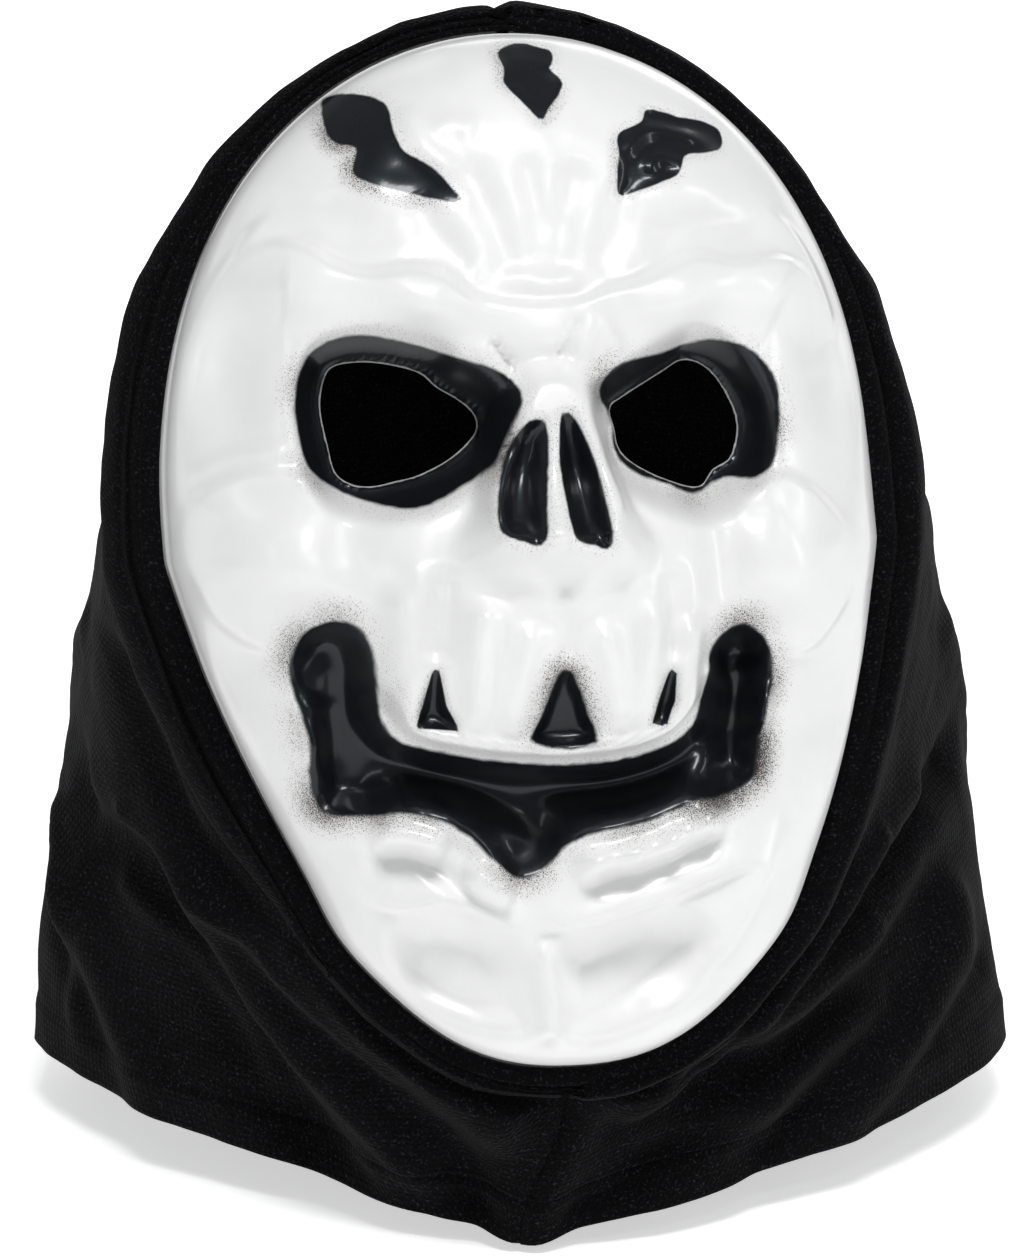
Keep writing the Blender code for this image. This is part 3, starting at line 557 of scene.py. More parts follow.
def pull_to_loop(u, w, loop, reach):
    """Moves the places that are near a closed outline onto it."""
    line = np.vstack([loop, loop[:1]])
    best, near_u, near_w = np.full(u.shape, FAR), u.copy(), w.copy()
    for a, b in zip(line, line[1:]):
        run = b - a
        share = np.clip(((u - a[0]) * run[0] + (w - a[1]) * run[1]) / max(run @ run, TINY), 0.0, 1.0)
        on_u, on_w = a[0] + share * run[0], a[1] + share * run[1]
        off = np.hypot(u - on_u, w - on_w)
        closer = off < best
        best = np.where(closer, off, best)
        near_u, near_w = np.where(closer, on_u, near_u), np.where(closer, on_w, near_w)
    pulled = best < reach
    return np.where(pulled, near_u, u), np.where(pulled, near_w, w)


def from_holes(u, w):
    """Distance from the nearer eye hole, less than nought inside it."""
    return np.minimum(*(loop_distance(loop, u, w) for loop in HOLES.values()))


def cut_holes(bm):
    middles = np.array([face.calc_center_median() for face in bm.faces])
    cut = from_holes(middles[:, 0], middles[:, 1]) < 0.0
    bmesh.ops.delete(bm, geom=[face for face, gone in zip(bm.faces, cut) if gone], context="FACES")
    rim = list({v for edge in bm.edges if edge.is_boundary for v in edge.verts})
    for loop in HOLES.values():
        u, w = np.array([v.co.x for v in rim]), np.array([v.co.y for v in rim])
        for vertex, a, b in zip(rim, *pull_to_loop(u, w, loop, RIM_REACH)):
            vertex.co = Vector((a, b, 0.0))


def even_out(bm):
    """Evens the faces beside the holes, and removes those that were pulled flat onto an outline."""
    flat = places_of(bm)
    off = np.abs(from_holes(flat[:, 0], flat[:, 1]))
    on_cut = {v for v, away in zip(bm.verts, off) if away < 0.01}
    beside = [v for v, away in zip(bm.verts, off) if 0.01 <= away < EVEN_REACH and not v.is_boundary]
    for _ in range(EVEN_ROUNDS):
        bmesh.ops.smooth_vert(bm, verts=beside, factor=0.5,
                              use_axis_x=True, use_axis_y=True, use_axis_z=False)
    slivers = [face for face in bm.faces if all(v in on_cut for v in face.verts)]
    bmesh.ops.delete(bm, geom=slivers, context="FACES")


def flat_face():
    bm = grid(MASK_COLUMNS, MASK_ROWS)
    square = places_of(bm)
    x, y = 2.0 * square[:, 0] / MASK_COLUMNS - 1.0, 2.0 * square[:, 1] / MASK_ROWS - 1.0
    round_x, round_y = x * np.sqrt(1.0 - y * y / 2.0), y * np.sqrt(1.0 - x * x / 2.0)
    share = np.hypot(round_x, round_y)
    u, w = inside_points(np.arctan2(round_x, -round_y), share + CROWDING * share * (1.0 - share))
    for loop in HOLES.values():
        u, w = pull_to_loop(u, w, loop, CUT_REACH)
    set_places(bm, np.stack([u, w, np.zeros_like(u)], axis=1))
    cut_holes(bm)
    even_out(bm)
    return bm


face_mesh = flat_face()
print("the flat face has", len(face_mesh.faces), "faces round two holes")

# %% [markdown]
# The flat face now rises to its relief, with a little unevenness, since hot plastic never follows a mould
# exactly. The floor of the mouth is smoothed once more. A narrow flange, which the cloth is sewn to, is
# extruded from the edge, and a Solidify modifier gives the sheet its wall. The wall's inner side and the
# cut edges take the second material.

# %% Mesh of the face
FLANGE = 4.0
WAVES = [(14.0, 0.5, 3.0), (6.0, 0.22, 9.0)]      # size of the lumps, their height, and the seed of the noise
MOUTH_SMOOTHING = 6        # rounds of smoothing on the floor of the mouth
MOUTH_FLOOR = -1.2         # the floor starts this far inside the paint's outline


def raise_face(bm):
    flat = places_of(bm)
    u, w = flat[:, 0], flat[:, 1]
    calm = soft_step((1.0 - outline_value(u, w)) / 0.1)
    waves = sum(height * rough(flat, size, seed) for size, height, seed in WAVES)
    set_places(bm, np.stack([u, w, relief(u, w) + calm * waves], axis=1))
    deep = loop_distance(PAINTED["mouth"][0], u, w) < MOUTH_FLOOR
    soft = [vertex for vertex, inside in zip(bm.verts, deep) if inside]
    for _ in range(MOUTH_SMOOTHING):
        bmesh.ops.smooth_vert(bm, verts=soft, factor=0.5, use_axis_x=False, use_axis_y=False, use_axis_z=True)


def add_flange(bm):
    outer = [edge for edge in bm.edges if edge.is_boundary
             and all(outline_value(v.co.x, v.co.y) > 0.97 for v in edge.verts)]
    made = bmesh.ops.extrude_edge_only(bm, edges=outer)
    for vertex in [item for item in made["geom"] if isinstance(item, bmesh.types.BMVert)]:
        away = Vector((vertex.co.x - float(centre_line(vertex.co.y)), vertex.co.y)).normalized()
        vertex.co.x += away.x * FLANGE
        vertex.co.y += away.y * FLANGE


def make_face(bm):
    raise_face(bm)
    add_flange(bm)
    places = places_of(bm)
    set_places(bm, in_space(places[:, 0], places[:, 1], places[:, 2]) * MM)
    bmesh.ops.recalc_face_normals(bm, faces=bm.faces)
    if sum(face.normal.dot(Vector(FORWARD)) for face in bm.faces) < 0.0:
        bmesh.ops.reverse_faces(bm, faces=bm.faces[:])
    face = add_object("skull_face", bm)
    give_wall(face, MASK_WALL, inner_slot=1)
    return face, places[:, 0], places[:, 1]


skull_face, face_u, face_w = make_face(face_mesh)
print("the face has", len(skull_face.data.polygons), "faces before its wall")

# %% [markdown]
# The hood is two panels of stretch cloth, sewn to each other at the chin and over the crown, and to the
# edge of the face. Each panel is one grid: its rows go from the face to the hem, and its columns from the
# chin to the crown. The first rows follow a section of the padded roll, and the others a curve from the
# roll to the hem, with two handles.

# %% Sizes of the hood
HEM_CENTRE = np.array([10.0, -41.0, -259.0])
HEM_TURN = math.radians(-7.5)
HEM_HALF_WIDTH = 132.5
HEM_FRONT = 106.0
HEM_BACK = 118.0
HEM_DIP_FRONT = 13.0
HEM_POINT = 3.0
HEM_FRONT_POWER = {-1: 1.40, 1: 1.52}
HEM_BACK_POWER = 2.1
HEM_DIP_BACK = 8.0
CASING_OFF = 0.5
GAP = 0.3
CASING_THICK = 2.2
PANEL_COLUMNS = 250
PANEL_ROWS = 110
ROLL_STEPS = 6
SEAM_HOLDS = 0.04
ROLL_HOLDS = 0.08
HEM_CALMS = 0.15
CLOTH = 1.0

EDGE = {  # share of the way from the chin to the top, width of the casing, width of the roll, its depth
    -1: [(0.0, 4.8, 3.2, 0.0), (0.18, 4.8, 3.2, 0.0), (0.36, 5.0, 9.5, 1.0), (0.47, 4.5, 10.5, 1.0),
         (0.58, 4.2, 9.5, 1.0), (0.66, 3.5, 9.5, 0.7), (0.76, 2.5, 6.0, 0.2), (0.87, 2.0, 4.5, 0.2),
         (1.0, 1.5, 5.0, 0.2)],
    1: [(0.0, 4.8, 3.2, 0.0), (0.16, 3.5, 3.2, 0.0), (0.30, 2.5, 8.0, 0.6), (0.42, 2.2, 10.5, 1.0),
        (0.56, 1.8, 11.5, 1.0), (0.65, 1.8, 8.0, 0.6), (0.74, 1.6, 3.5, 0.1), (0.86, 1.2, 3.2, 0.0),
        (1.0, 1.5, 5.0, 0.2)],
}
ROLL = {  # share of the roll's width, height in front of the flange, and how much of it grows with the roll
    -1: [(0.0, 0.35, 0.0), (0.0, 1.65, 0.2), (0.16, 1.95, 0.9), (0.36, 1.8, -2.9), (0.62, 1.8, 1.2),
         (1.0, -1.5, -1.0), (0.94, -3.5, -5.5)],
    1: [(0.0, 0.35, 0.0), (0.0, 1.65, 0.0), (0.17, 1.65, 0.0), (0.37, 2.0, -4.1), (0.7, 2.0, 1.0),
        (1.0, -1.5, -1.0), (1.06, -3.5, -4.5)],
}
# share of the edge, the handle at the roll (out, back, up) and the handle at the hem (out, back, up)
RIBS = {
    -1: [(0.0, 0, 2, -16, 0, -2, 16), (0.12, 4, 6, -22, 0, 0, 24), (0.25, 10, 14, -30, 0, 0, 40),
         (0.4, 8, 24, -36, 0, 6, 60), (0.55, -2, 44, -40, -4, 14, 80), (0.7, -4, 80, -34, -4, 30, 110),
         (0.85, 4, 134, -42, 0, 38, 130), (1.0, 0, 162, -49.5, 0, 42, 136)],
    1: [(0.0, 0, 2, -16, 0, -2, 16), (0.12, 4, 6, -22, 0, 0, 24), (0.25, 4, 14, -30, -6, 0, 40),
        (0.4, 8, 24, -36, -12, 6, 60), (0.55, 16, 44, -40, -8, 14, 80), (0.7, 14, 80, -34, 0, 30, 110),
        (0.85, 4, 134, -42, 0, 38, 130), (1.0, 0, 162, -49.5, 0, 42, 136)],
}


def between(rows, at):
    """The rows of a table between its own, with no corner at a row. The first column is the place."""
    rows = np.array(rows, float)
    k = np.clip(np.searchsorted(rows[:, 0], at) - 1, 0, len(rows) - 2)
    share = soft_step((at - rows[k, 0]) / (rows[k + 1, 0] - rows[k, 0]))
    return rows[k] + (rows[k + 1] - rows[k]) * share[:, None]


def outward(edge):
    """Directions away from the mask, square to its edge."""
    along = np.gradient(edge, axis=0)
    across = np.stack([along[:, 1], -along[:, 0]], axis=1)
    across /= np.linalg.norm(across, axis=1)[:, None]
    across *= np.sign((across * edge).sum(axis=1))[:, None]
    across[0], across[-1] = (0.0, -1.0), (0.0, 1.0)
    return across


def hem_loop(side, count):
    """The hem on one side, from the front seam to the back seam."""
    turn = np.linspace(0.0, math.pi, 721)
    front = turn < math.pi / 2.0
    power = np.where(front, 2.0 / HEM_FRONT_POWER[side], 2.0 / HEM_BACK_POWER)
    across = side * HEM_HALF_WIDTH * np.abs(np.sin(turn)) ** power
    along = np.where(front, -HEM_FRONT, HEM_BACK) * np.abs(np.cos(turn)) ** power
    dip_front = HEM_DIP_FRONT * np.cos(turn) ** 4 + HEM_POINT * np.cos(turn) ** 60
    height = -np.where(front, dip_front, HEM_DIP_BACK * np.cos(turn) ** 2)
    c, s = math.cos(HEM_TURN), math.sin(HEM_TURN)
    turned = np.stack([across * c - along * s, across * s + along * c, height], axis=1)
    return even_steps(HEM_CENTRE + turned, count)


def panel_rows(side):
    """All rows of a panel, from the casing to the hem, as an array of rows by columns by x, y and z."""
    edge = half_outline(side, PANEL_COLUMNS)
    away, at = outward(edge), np.linspace(0.0, 1.0, PANEL_COLUMNS + 1)
    _, casing, roll, deep = between(EDGE[side], at).T
    rows = []
    for out, fixed, grows in through(ROLL[side], False, ROLL_STEPS):
        place = edge + away * (casing + CASING_OFF + (GAP if out > 0.0 else -0.8) + out * roll)[:, None]
        rows.append(in_space(place[:, 0], place[:, 1], edge_depth(place[:, 1]) + fixed + grows * deep))
    handles = between(RIBS[side], at)[:, 1:] * np.array([side, 1, 1, side, 1, 1])
    start, end = rows[-1], hem_loop(side, PANEL_COLUMNS)
    b, c = start + handles[:, :3], end + handles[:, 3:]
    for t in np.linspace(0.0, 1.0, PANEL_ROWS + 1)[1:]:
        s = 1.0 - t
        rows.append(start * s ** 3 + b * 3 * s * s * t + c * 3 * s * t * t + end * t ** 3)
    return np.array(rows)


def row_normals(rows, side):
    """Outward directions of a panel's grid. On a seam they lie in the seam's own plane."""
    normals = np.cross(np.gradient(rows, axis=0), np.gradient(rows, axis=1)) * side
    normals[:, (0, -1), 0] = 0.0
    return normals / np.maximum(np.linalg.norm(normals, axis=2), TINY)[..., None]

# %% [markdown]
# The folds are lines over the panel, each with a height and a half width, as in the solid model. The large
# ones are the same as there. The small ones, which only this file has, give the cloth the creases of a soft
# knit.

# %% Folds of the hood
# where the line of the fold runs: (share of the edge, share of the rib), then its height and half width
FOLDS = {
    -1: [
        ([(0.44, 0.06), (0.34, 0.08), (0.24, 0.06), (0.18, 0.04)], -3.0, 10.0),
        ([(0.42, 0.40), (0.34, 0.22), (0.21, 0.10), (0.05, 0.14)], 5.0, 13.0),
        ([(0.43, 0.45), (0.34, 0.35), (0.27, 0.46), (0.16, 0.92)], -6.0, 17.0),
        ([(0.29, 0.27), (0.21, 0.40), (0.15, 0.55), (0.09, 0.74)], 5.0, 13.0),
        ([(0.24, 0.23), (0.14, 0.24), (0.08, 0.36), (0.03, 0.94)], -5.0, 12.0),
        ([(0.41, 0.68), (0.38, 0.74), (0.35, 0.82), (0.31, 1.0)], 5.0, 15.0),
        ([(0.44, 0.74), (0.40, 0.80), (0.37, 0.87), (0.34, 1.0)], -3.0, 9.0),
    ],
    1: [
        ([(0.37, 0.32), (0.31, 0.22), (0.22, 0.08), (0.14, 0.04)], 4.0, 9.0),
        ([(0.46, 0.50), (0.34, 0.37), (0.23, 0.16), (0.09, 0.06)], -5.0, 9.0),
        ([(0.40, 0.56), (0.34, 0.52), (0.21, 0.32), (0.05, 0.09)], 5.0, 12.0),
        ([(0.40, 0.60), (0.29, 0.60), (0.15, 0.40), (0.04, 0.25)], -6.0, 12.0),
        ([(0.40, 0.68), (0.31, 0.67), (0.24, 0.69), (0.18, 0.70)], 5.0, 11.0),
        ([(0.36, 0.72), (0.28, 0.77), (0.23, 0.84), (0.18, 0.95)], -4.0, 10.0),
        ([(0.39, 0.78), (0.36, 0.82), (0.32, 0.86), (0.26, 0.92)], 5.0, 13.0),
        ([(0.13, 0.32), (0.10, 0.55), (0.08, 0.74), (0.04, 0.93)], -4.0, 11.0),
    ],
}
SMALL_FOLDS = {
    -1: [
        ([(0.38, 0.30), (0.30, 0.18), (0.22, 0.17), (0.12, 0.20)], 1.6, 4.0),
        ([(0.36, 0.50), (0.30, 0.48), (0.24, 0.58), (0.20, 0.76)], 1.6, 5.0),
        ([(0.20, 0.50), (0.14, 0.62), (0.10, 0.80), (0.07, 0.96)], -1.4, 5.0),
        ([(0.47, 0.60), (0.42, 0.66), (0.40, 0.78), (0.39, 0.92)], 1.6, 5.0),
        ([(0.56, 0.10), (0.62, 0.30), (0.66, 0.55), (0.68, 0.85)], -2.0, 8.0),
        ([(0.52, 0.30), (0.56, 0.50), (0.58, 0.72), (0.58, 0.95)], 2.4, 9.0),
        ([(0.76, 0.25), (0.80, 0.48), (0.82, 0.70), (0.83, 0.95)], 2.0, 9.0),
        ([(0.72, 0.55), (0.74, 0.70), (0.75, 0.82), (0.76, 0.97)], -2.0, 8.0),
        ([(0.90, 0.45), (0.91, 0.62), (0.92, 0.80), (0.92, 0.97)], -2.0, 8.0),
    ],
    1: [
        ([(0.30, 0.14), (0.24, 0.06), (0.18, 0.05), (0.10, 0.10)], 1.6, 3.5),
        ([(0.28, 0.40), (0.20, 0.22), (0.12, 0.16), (0.05, 0.18)], 1.4, 4.0),
        ([(0.30, 0.74), (0.22, 0.66), (0.14, 0.62), (0.07, 0.55)], 1.6, 5.0),
        ([(0.44, 0.86), (0.38, 0.88), (0.32, 0.93), (0.28, 0.98)], -1.6, 5.0),
        ([(0.56, 0.12), (0.62, 0.32), (0.66, 0.58), (0.67, 0.88)], -2.0, 8.0),
        ([(0.50, 0.34), (0.53, 0.52), (0.56, 0.72), (0.56, 0.95)], 2.4, 9.0),
        ([(0.77, 0.28), (0.80, 0.50), (0.81, 0.72), (0.82, 0.95)], 2.0, 9.0),
        ([(0.70, 0.50), (0.72, 0.66), (0.74, 0.80), (0.74, 0.97)], -2.0, 8.0),
        ([(0.90, 0.40), (0.91, 0.58), (0.92, 0.78), (0.93, 0.97)], -2.0, 8.0),
    ],
}


FOLD_GAIN = 1.25          # the cloth folds a little more than the solids do
FOLD_WIDTH = 0.9          # and its folds are a little narrower


def spine_distance(points, spine):
    """Distance of each point of a panel from the line of a fold."""
    near = np.full(points.shape[:2], FAR)
    for a, b in zip(spine, spine[1:]):
        run = b - a
        share = np.clip(((points - a) @ run) / max(run @ run, TINY), 0.0, 1.0)
        near = np.minimum(near, np.linalg.norm(points - a - share[..., None] * run, axis=2))
    return near


def fold_heights(rows, side):
    """How far the folds move each point of a panel. The seams, the roll and the hem hold the cloth."""
    count = rows.shape[0] - 1
    heights = np.zeros(rows.shape[:2])
    for places, height, wide in FOLDS[side] + SMALL_FOLDS[side]:
        spine = [rows[round(count - (1.0 - t) * PANEL_ROWS), round(at * PANEL_COLUMNS)] for at, t in places]
        off = spine_distance(rows, through(spine, False))
        heights += FOLD_GAIN * height * bell(off / (FOLD_WIDTH * wide))
    t = (1.0 - (count - np.arange(count + 1)) / PANEL_ROWS)[:, None]
    at = np.linspace(0.0, 1.0, PANEL_COLUMNS + 1)[None, :]
    held = soft_step(t / ROLL_HOLDS) * soft_step(np.minimum(at, 1.0 - at) / SEAM_HOLDS)
    return heights * held * (0.5 + 0.5 * soft_step((1.0 - t) / HEM_CALMS))

# %% [markdown]
# Each panel is a flat grid whose points go to the places that the rows give. It also keeps a UV map in
# metres, along the cloth and across it, so that the knit of the material follows the cloth into its folds.

# %% The two panels
HEM_FOLD = 14.0           # depth of the hem that is turned up and sewn
SEAM_ALLOWANCE = 6.0      # cloth that is turned in where the two panels are sewn to each other
SEAM_ASIDE = 0.6          # keeps the turned cloth of the two panels apart
ROLL_ROWS = ROLL_STEPS * 6


def panel_surface(side):
    """A panel's rows with its folds, and each point's distances along them, to the hem and to a seam."""
    rows = panel_rows(side)
    rows = rows + row_normals(rows, side) * fold_heights(rows, side)[..., None]
    down = np.linalg.norm(np.diff(rows, axis=0), axis=2)
    to_hem = np.vstack([np.cumsum(down[::-1], axis=0)[::-1], np.zeros((1, rows.shape[1]))])
    steps = np.linalg.norm(np.diff(rows, axis=1), axis=2)
    along = np.hstack([np.zeros((rows.shape[0], 1)), np.cumsum(steps, axis=1)])
    to_seam = np.minimum(along, along[:, -1:] - along)
    change = 0.7 * soft_step((HEM_FOLD + 1.0 - to_hem) / 2.0) - 0.8 * bell((to_hem - HEM_FOLD + 1.5) / 1.3)
    change = change - 1.4 * bell(to_seam / 2.2)
    seed = 20.0 + 7.0 * side
    soft = rough(rows.reshape(-1, 3), 22.0, seed).reshape(change.shape)
    fine = rough(rows.reshape(-1, 3), 7.0, seed + 5.0).reshape(change.shape)
    from_roll = np.arange(rows.shape[0])[:, None] / float(ROLL_ROWS)
    change = change + (0.9 * soft + 0.35 * fine) * soft_step(from_roll) * soft_step(to_seam / 12.0)
    return rows + row_normals(rows, side) * change[..., None], along, to_hem, to_seam


def turn_in_seams(rows, along, to_hem, to_seam, side):
    """Adds a column of cloth at both seams, turned to the inside."""
    inward = -row_normals(rows, side)[:, (0, -1)] * SEAM_ALLOWANCE
    inward[:ROLL_ROWS + 4] = inward[ROLL_ROWS + 4]
    folded = rows[:, (0, -1)] + inward + np.array([side * SEAM_ASIDE, 0.0, 0.0])
    rows = np.concatenate([folded[:, :1], rows, folded[:, 1:]], axis=1)
    along = np.hstack([along[:, :1] - SEAM_ALLOWANCE, along, along[:, -1:] + SEAM_ALLOWANCE])
    to_hem = np.hstack([to_hem[:, :1], to_hem, to_hem[:, -1:]])
    to_seam = np.hstack([to_seam[:, :1], to_seam, to_seam[:, -1:]])
    return rows, along, to_hem, to_seam


def make_panel(name, side):
    rows, along, to_hem, to_seam = turn_in_seams(*panel_surface(side), side)
    bm = grid(rows.shape[1] - 1, rows.shape[0] - 1)
    spots = places_of(bm).astype(int)
    set_places(bm, rows[spots[:, 1], spots[:, 0]] * MM)
    if side * sum(face.normal.x for face in bm.faces) < 0.0:
        bmesh.ops.reverse_faces(bm, faces=bm.faces[:])
    piece = add_object(name, bm)
    mesh = piece.data
    uv = mesh.uv_layers.new(name="cloth")
    corners = np.empty(len(mesh.loops), int)
    mesh.loops.foreach_get("vertex_index", corners)
    middle = along[spots[:, 1], -1] / 2.0
    flat = np.stack([along[spots[:, 1], spots[:, 0]] - middle, to_hem[spots[:, 1], spots[:, 0]]], axis=1) * MM
    uv.data.foreach_set("uv", flat[corners].ravel())
    store(mesh, "to_hem", to_hem[spots[:, 1], spots[:, 0]])
    store(mesh, "to_seam", to_seam[spots[:, 1], spots[:, 0]])
    give_wall(piece, CLOTH)
    area = sum(face.area for face in mesh.polygons)
    print(name, "has", len(mesh.polygons), "faces and", round(area, 4), "square metres of cloth")
    return piece, area


hood_left, area_left = make_panel("hood_left_cloth", -1)
hood_right, area_right = make_panel("hood_right_cloth", 1)

# %% [markdown]
# A narrow strip of the same cloth, folded to a flat oval, runs round the face and covers the seam. It is a
# grid too, wrapped round its own section and closed on itself.

# %% The strip round the face
CASING_HALF_STEPS = 240
CASING_ROUND = 0.012       # metres round the section, for the pattern of the knit
CASING_SECTION = [(0.0, 0.3), (0.05, 0.75), (0.22, 0.97), (0.5, 1.0), (0.78, 0.97), (0.95, 0.75), (1.0, 0.3),
                  (0.97, 0.05), (0.8, 0.0), (0.5, 0.0), (0.2, 0.0), (0.03, 0.05)]


def make_casing():
    half = CASING_HALF_STEPS
    at = np.linspace(0.0, 1.0, half + 1)
    rings = []
    for side in (-1, 1):
        edge = half_outline(side, half)
        rings.append(np.hstack([edge, outward(edge), between(EDGE[side], at)[:, 1:2]]))
    ring = np.vstack([rings[0][:-1], rings[1][::-1][:-1]])
    steps = np.linalg.norm(np.diff(np.vstack([ring, ring[:1]])[:, :2], axis=0), axis=1)
    along = np.concatenate([[0.0], np.cumsum(steps)])
    section = through(CASING_SECTION, True, 2)
    bm = grid(len(ring), len(section))
    spots = places_of(bm).astype(int)
    station, out = ring[spots[:, 0] % len(ring)], section[spots[:, 1] % len(section)]
    place = station[:, :2] + station[:, 2:4] * (CASING_OFF + out[:, :1] * station[:, 4:5])
    depth = edge_depth(place[:, 1]) + GAP + out[:, 1] * CASING_THICK
    set_places(bm, in_space(place[:, 0], place[:, 1], depth) * MM)
    uv = bm.loops.layers.uv.new("cloth")
    bm.verts.index_update()
    for face in bm.faces:
        for loop in face.loops:
            k = loop.vert.index
            loop[uv].uv = (along[spots[k, 0]] * MM, spots[k, 1] / len(section) * CASING_ROUND)
    bmesh.ops.remove_doubles(bm, verts=bm.verts, dist=1e-6)
    bmesh.ops.recalc_face_normals(bm, faces=bm.faces)
    return add_object("edge_strip", bm)


edge_strip = make_casing()
strip_length = 2.0 * float(np.linalg.norm(np.diff(half_outline(1, 400), axis=0), axis=1).sum()) * MM
print("the strip round the face is", round(strip_length, 3), "m long")

# %% [markdown]
# The face needs one material for two finishes: shiny white plastic, and black paint that was sprayed on it.
# Each point of the mesh keeps its distance to the nearest painted outline, in millimetres. The material
# turns that distance into a clean edge, made a little ragged by noise, and scatters fine dots of paint
# outside it, as a spray gun does.

# %% What the paint needs to know
DUST = [  # u, w, radius, strength: where the spray drifted furthest
    (-49, 100, 9, 0.55), (-44, 90, 9, 0.5), (-30, 87, 7, 0.35), (-50, 110, 5, 0.35), (-5, 121, 6, 0.35),
    (7, 110, 5, 0.3), (20, 97, 5, 0.35), (0, -30, 9, 0.55), (-7, -36, 6, 0.4), (8, -34, 6, 0.4),
    (-62, -20, 7, 0.5), (-63, -42, 6, 0.35), (-56, -61, 7, 0.6), (-44, -60, 6, 0.5), (-32, -60, 6, 0.45),
    (-8, -78, 7, 0.45), (20, -65, 7, 0.4), (42, -60, 9, 0.7), (54, -52, 8, 0.7), (56, -34, 7, 0.5),
    (48, -15, 8, 0.5), (-52, -10, 7, 0.4), (-60, 20, 6, 0.35), (-62, 45, 6, 0.35), (-10, 26, 6, 0.5),
    (12, 44, 6, 0.45), (60, 30, 5, 0.35), (38, 13, 5, 0.3), (-34, -33, 5, 0.35), (22, -36, 5, 0.3),
]


def paint_values(u, w):
    distance = np.full(u.shape, FAR)
    for loop, soft in PAINTED.values():
        distance = np.minimum(distance, loop_distance(loop, u, w) / soft)
    drift = np.full(u.shape, 0.14)
    for mid_u, mid_w, radius, strength in DUST:
        drift = np.maximum(drift, strength * bell(np.hypot(u - mid_u, w - mid_w) / (1.6 * radius)))
    return distance, drift, from_holes(u, w)


paint, drift, cut_edge = paint_values(face_u, face_w)
store(skull_face.data, "cut_edge", cut_edge)
store(skull_face.data, "paint", paint)
store(skull_face.data, "drift", drift)
print("painted points of the face:", int((paint < 0.0).sum()), "of", len(paint))

# %% [markdown]
# Materials are node trees. A short helper adds a node, sets its sockets and links the others, so that each
# recipe below reads as a list of steps.

# %% Helpers for materials
def new_material(name):
    made = bpy.data.materials.new(name)
    made.use_nodes = True
    return made, made.node_tree.nodes["Principled BSDF"]


def node(material, kind, settings=None, **sockets):
    """Adds a node. A socket takes a value, or the output of another node."""
    made = material.node_tree.nodes.new(kind)
    for key, value in (settings or {}).items():
        setattr(made, key, value)
    for key, value in sockets.items():
        plug(material, made, key.replace("_", " "), value)
    return made


def plug(material, target, name, value):
    socket = target.inputs[int(name[1:])] if name[0] == "i" and name[1:].isdigit() else target.inputs[name]
    if isinstance(value, bpy.types.NodeSocket):
        material.node_tree.links.new(value, socket)
    else:
        socket.default_value = value


def sum_of(material, a, b, factor=1.0):
    """a + b x factor"""
    return node(material, "ShaderNodeMath", {"operation": "MULTIPLY_ADD"}, i0=b, i1=factor, i2=a).outputs[0]


def product_of(material, a, b):
    return node(material, "ShaderNodeMath", {"operation": "MULTIPLY"}, i0=a, i1=b).outputs[0]


def number_at(material, name):
    """Reads a number that was kept at the points of the mesh."""
    return node(material, "ShaderNodeAttribute", {"attribute_name": name}).outputs["Fac"]


def ramp(material, value, low, high, to_low=0.0, to_high=1.0):
    """A soft step from one value to another. The first may be the larger one."""
    return node(material, "ShaderNodeMapRange", {"interpolation_type": "SMOOTHSTEP"}, Value=value,
                From_Min=low, From_Max=high, To_Min=to_low, To_Max=to_high).outputs[0]


def noise_of(material, where, scale, detail=2.0):
    return node(material, "ShaderNodeTexNoise", None, Vector=where, Scale=scale, Detail=detail).outputs[0]


def blend_colour(material, share, a, b):
    mix = node(material, "ShaderNodeMix", {"data_type": "RGBA"})
    plug(material, mix, "i0", share)
    plug(material, mix, "i6", a)
    plug(material, mix, "i7", b)
    return mix.outputs[2]

# %% [markdown]
# The plastic is slightly cloudy, so two whites are mixed. The paint dulls the shine and gives it a cool
# tint, and where the knife cut through the paint the edge is grey. Haze and dots of spray lie on the white
# beside the paint.

# %% Plastic and paint
BLACK_PAINT = (0.005, 0.0055, 0.007, 1.0)
BLACK_DUST = (0.06, 0.06, 0.06, 1.0)
SPRAY_HAZE = (0.16, 0.13, 0.11, 1.0)
SPRAY_DOT = (0.03, 0.026, 0.024, 1.0)
CUT_GREY = (0.42, 0.42, 0.42, 1.0)
PAINT_SHINE = (0.34, 0.45, 0.52, 1.0)


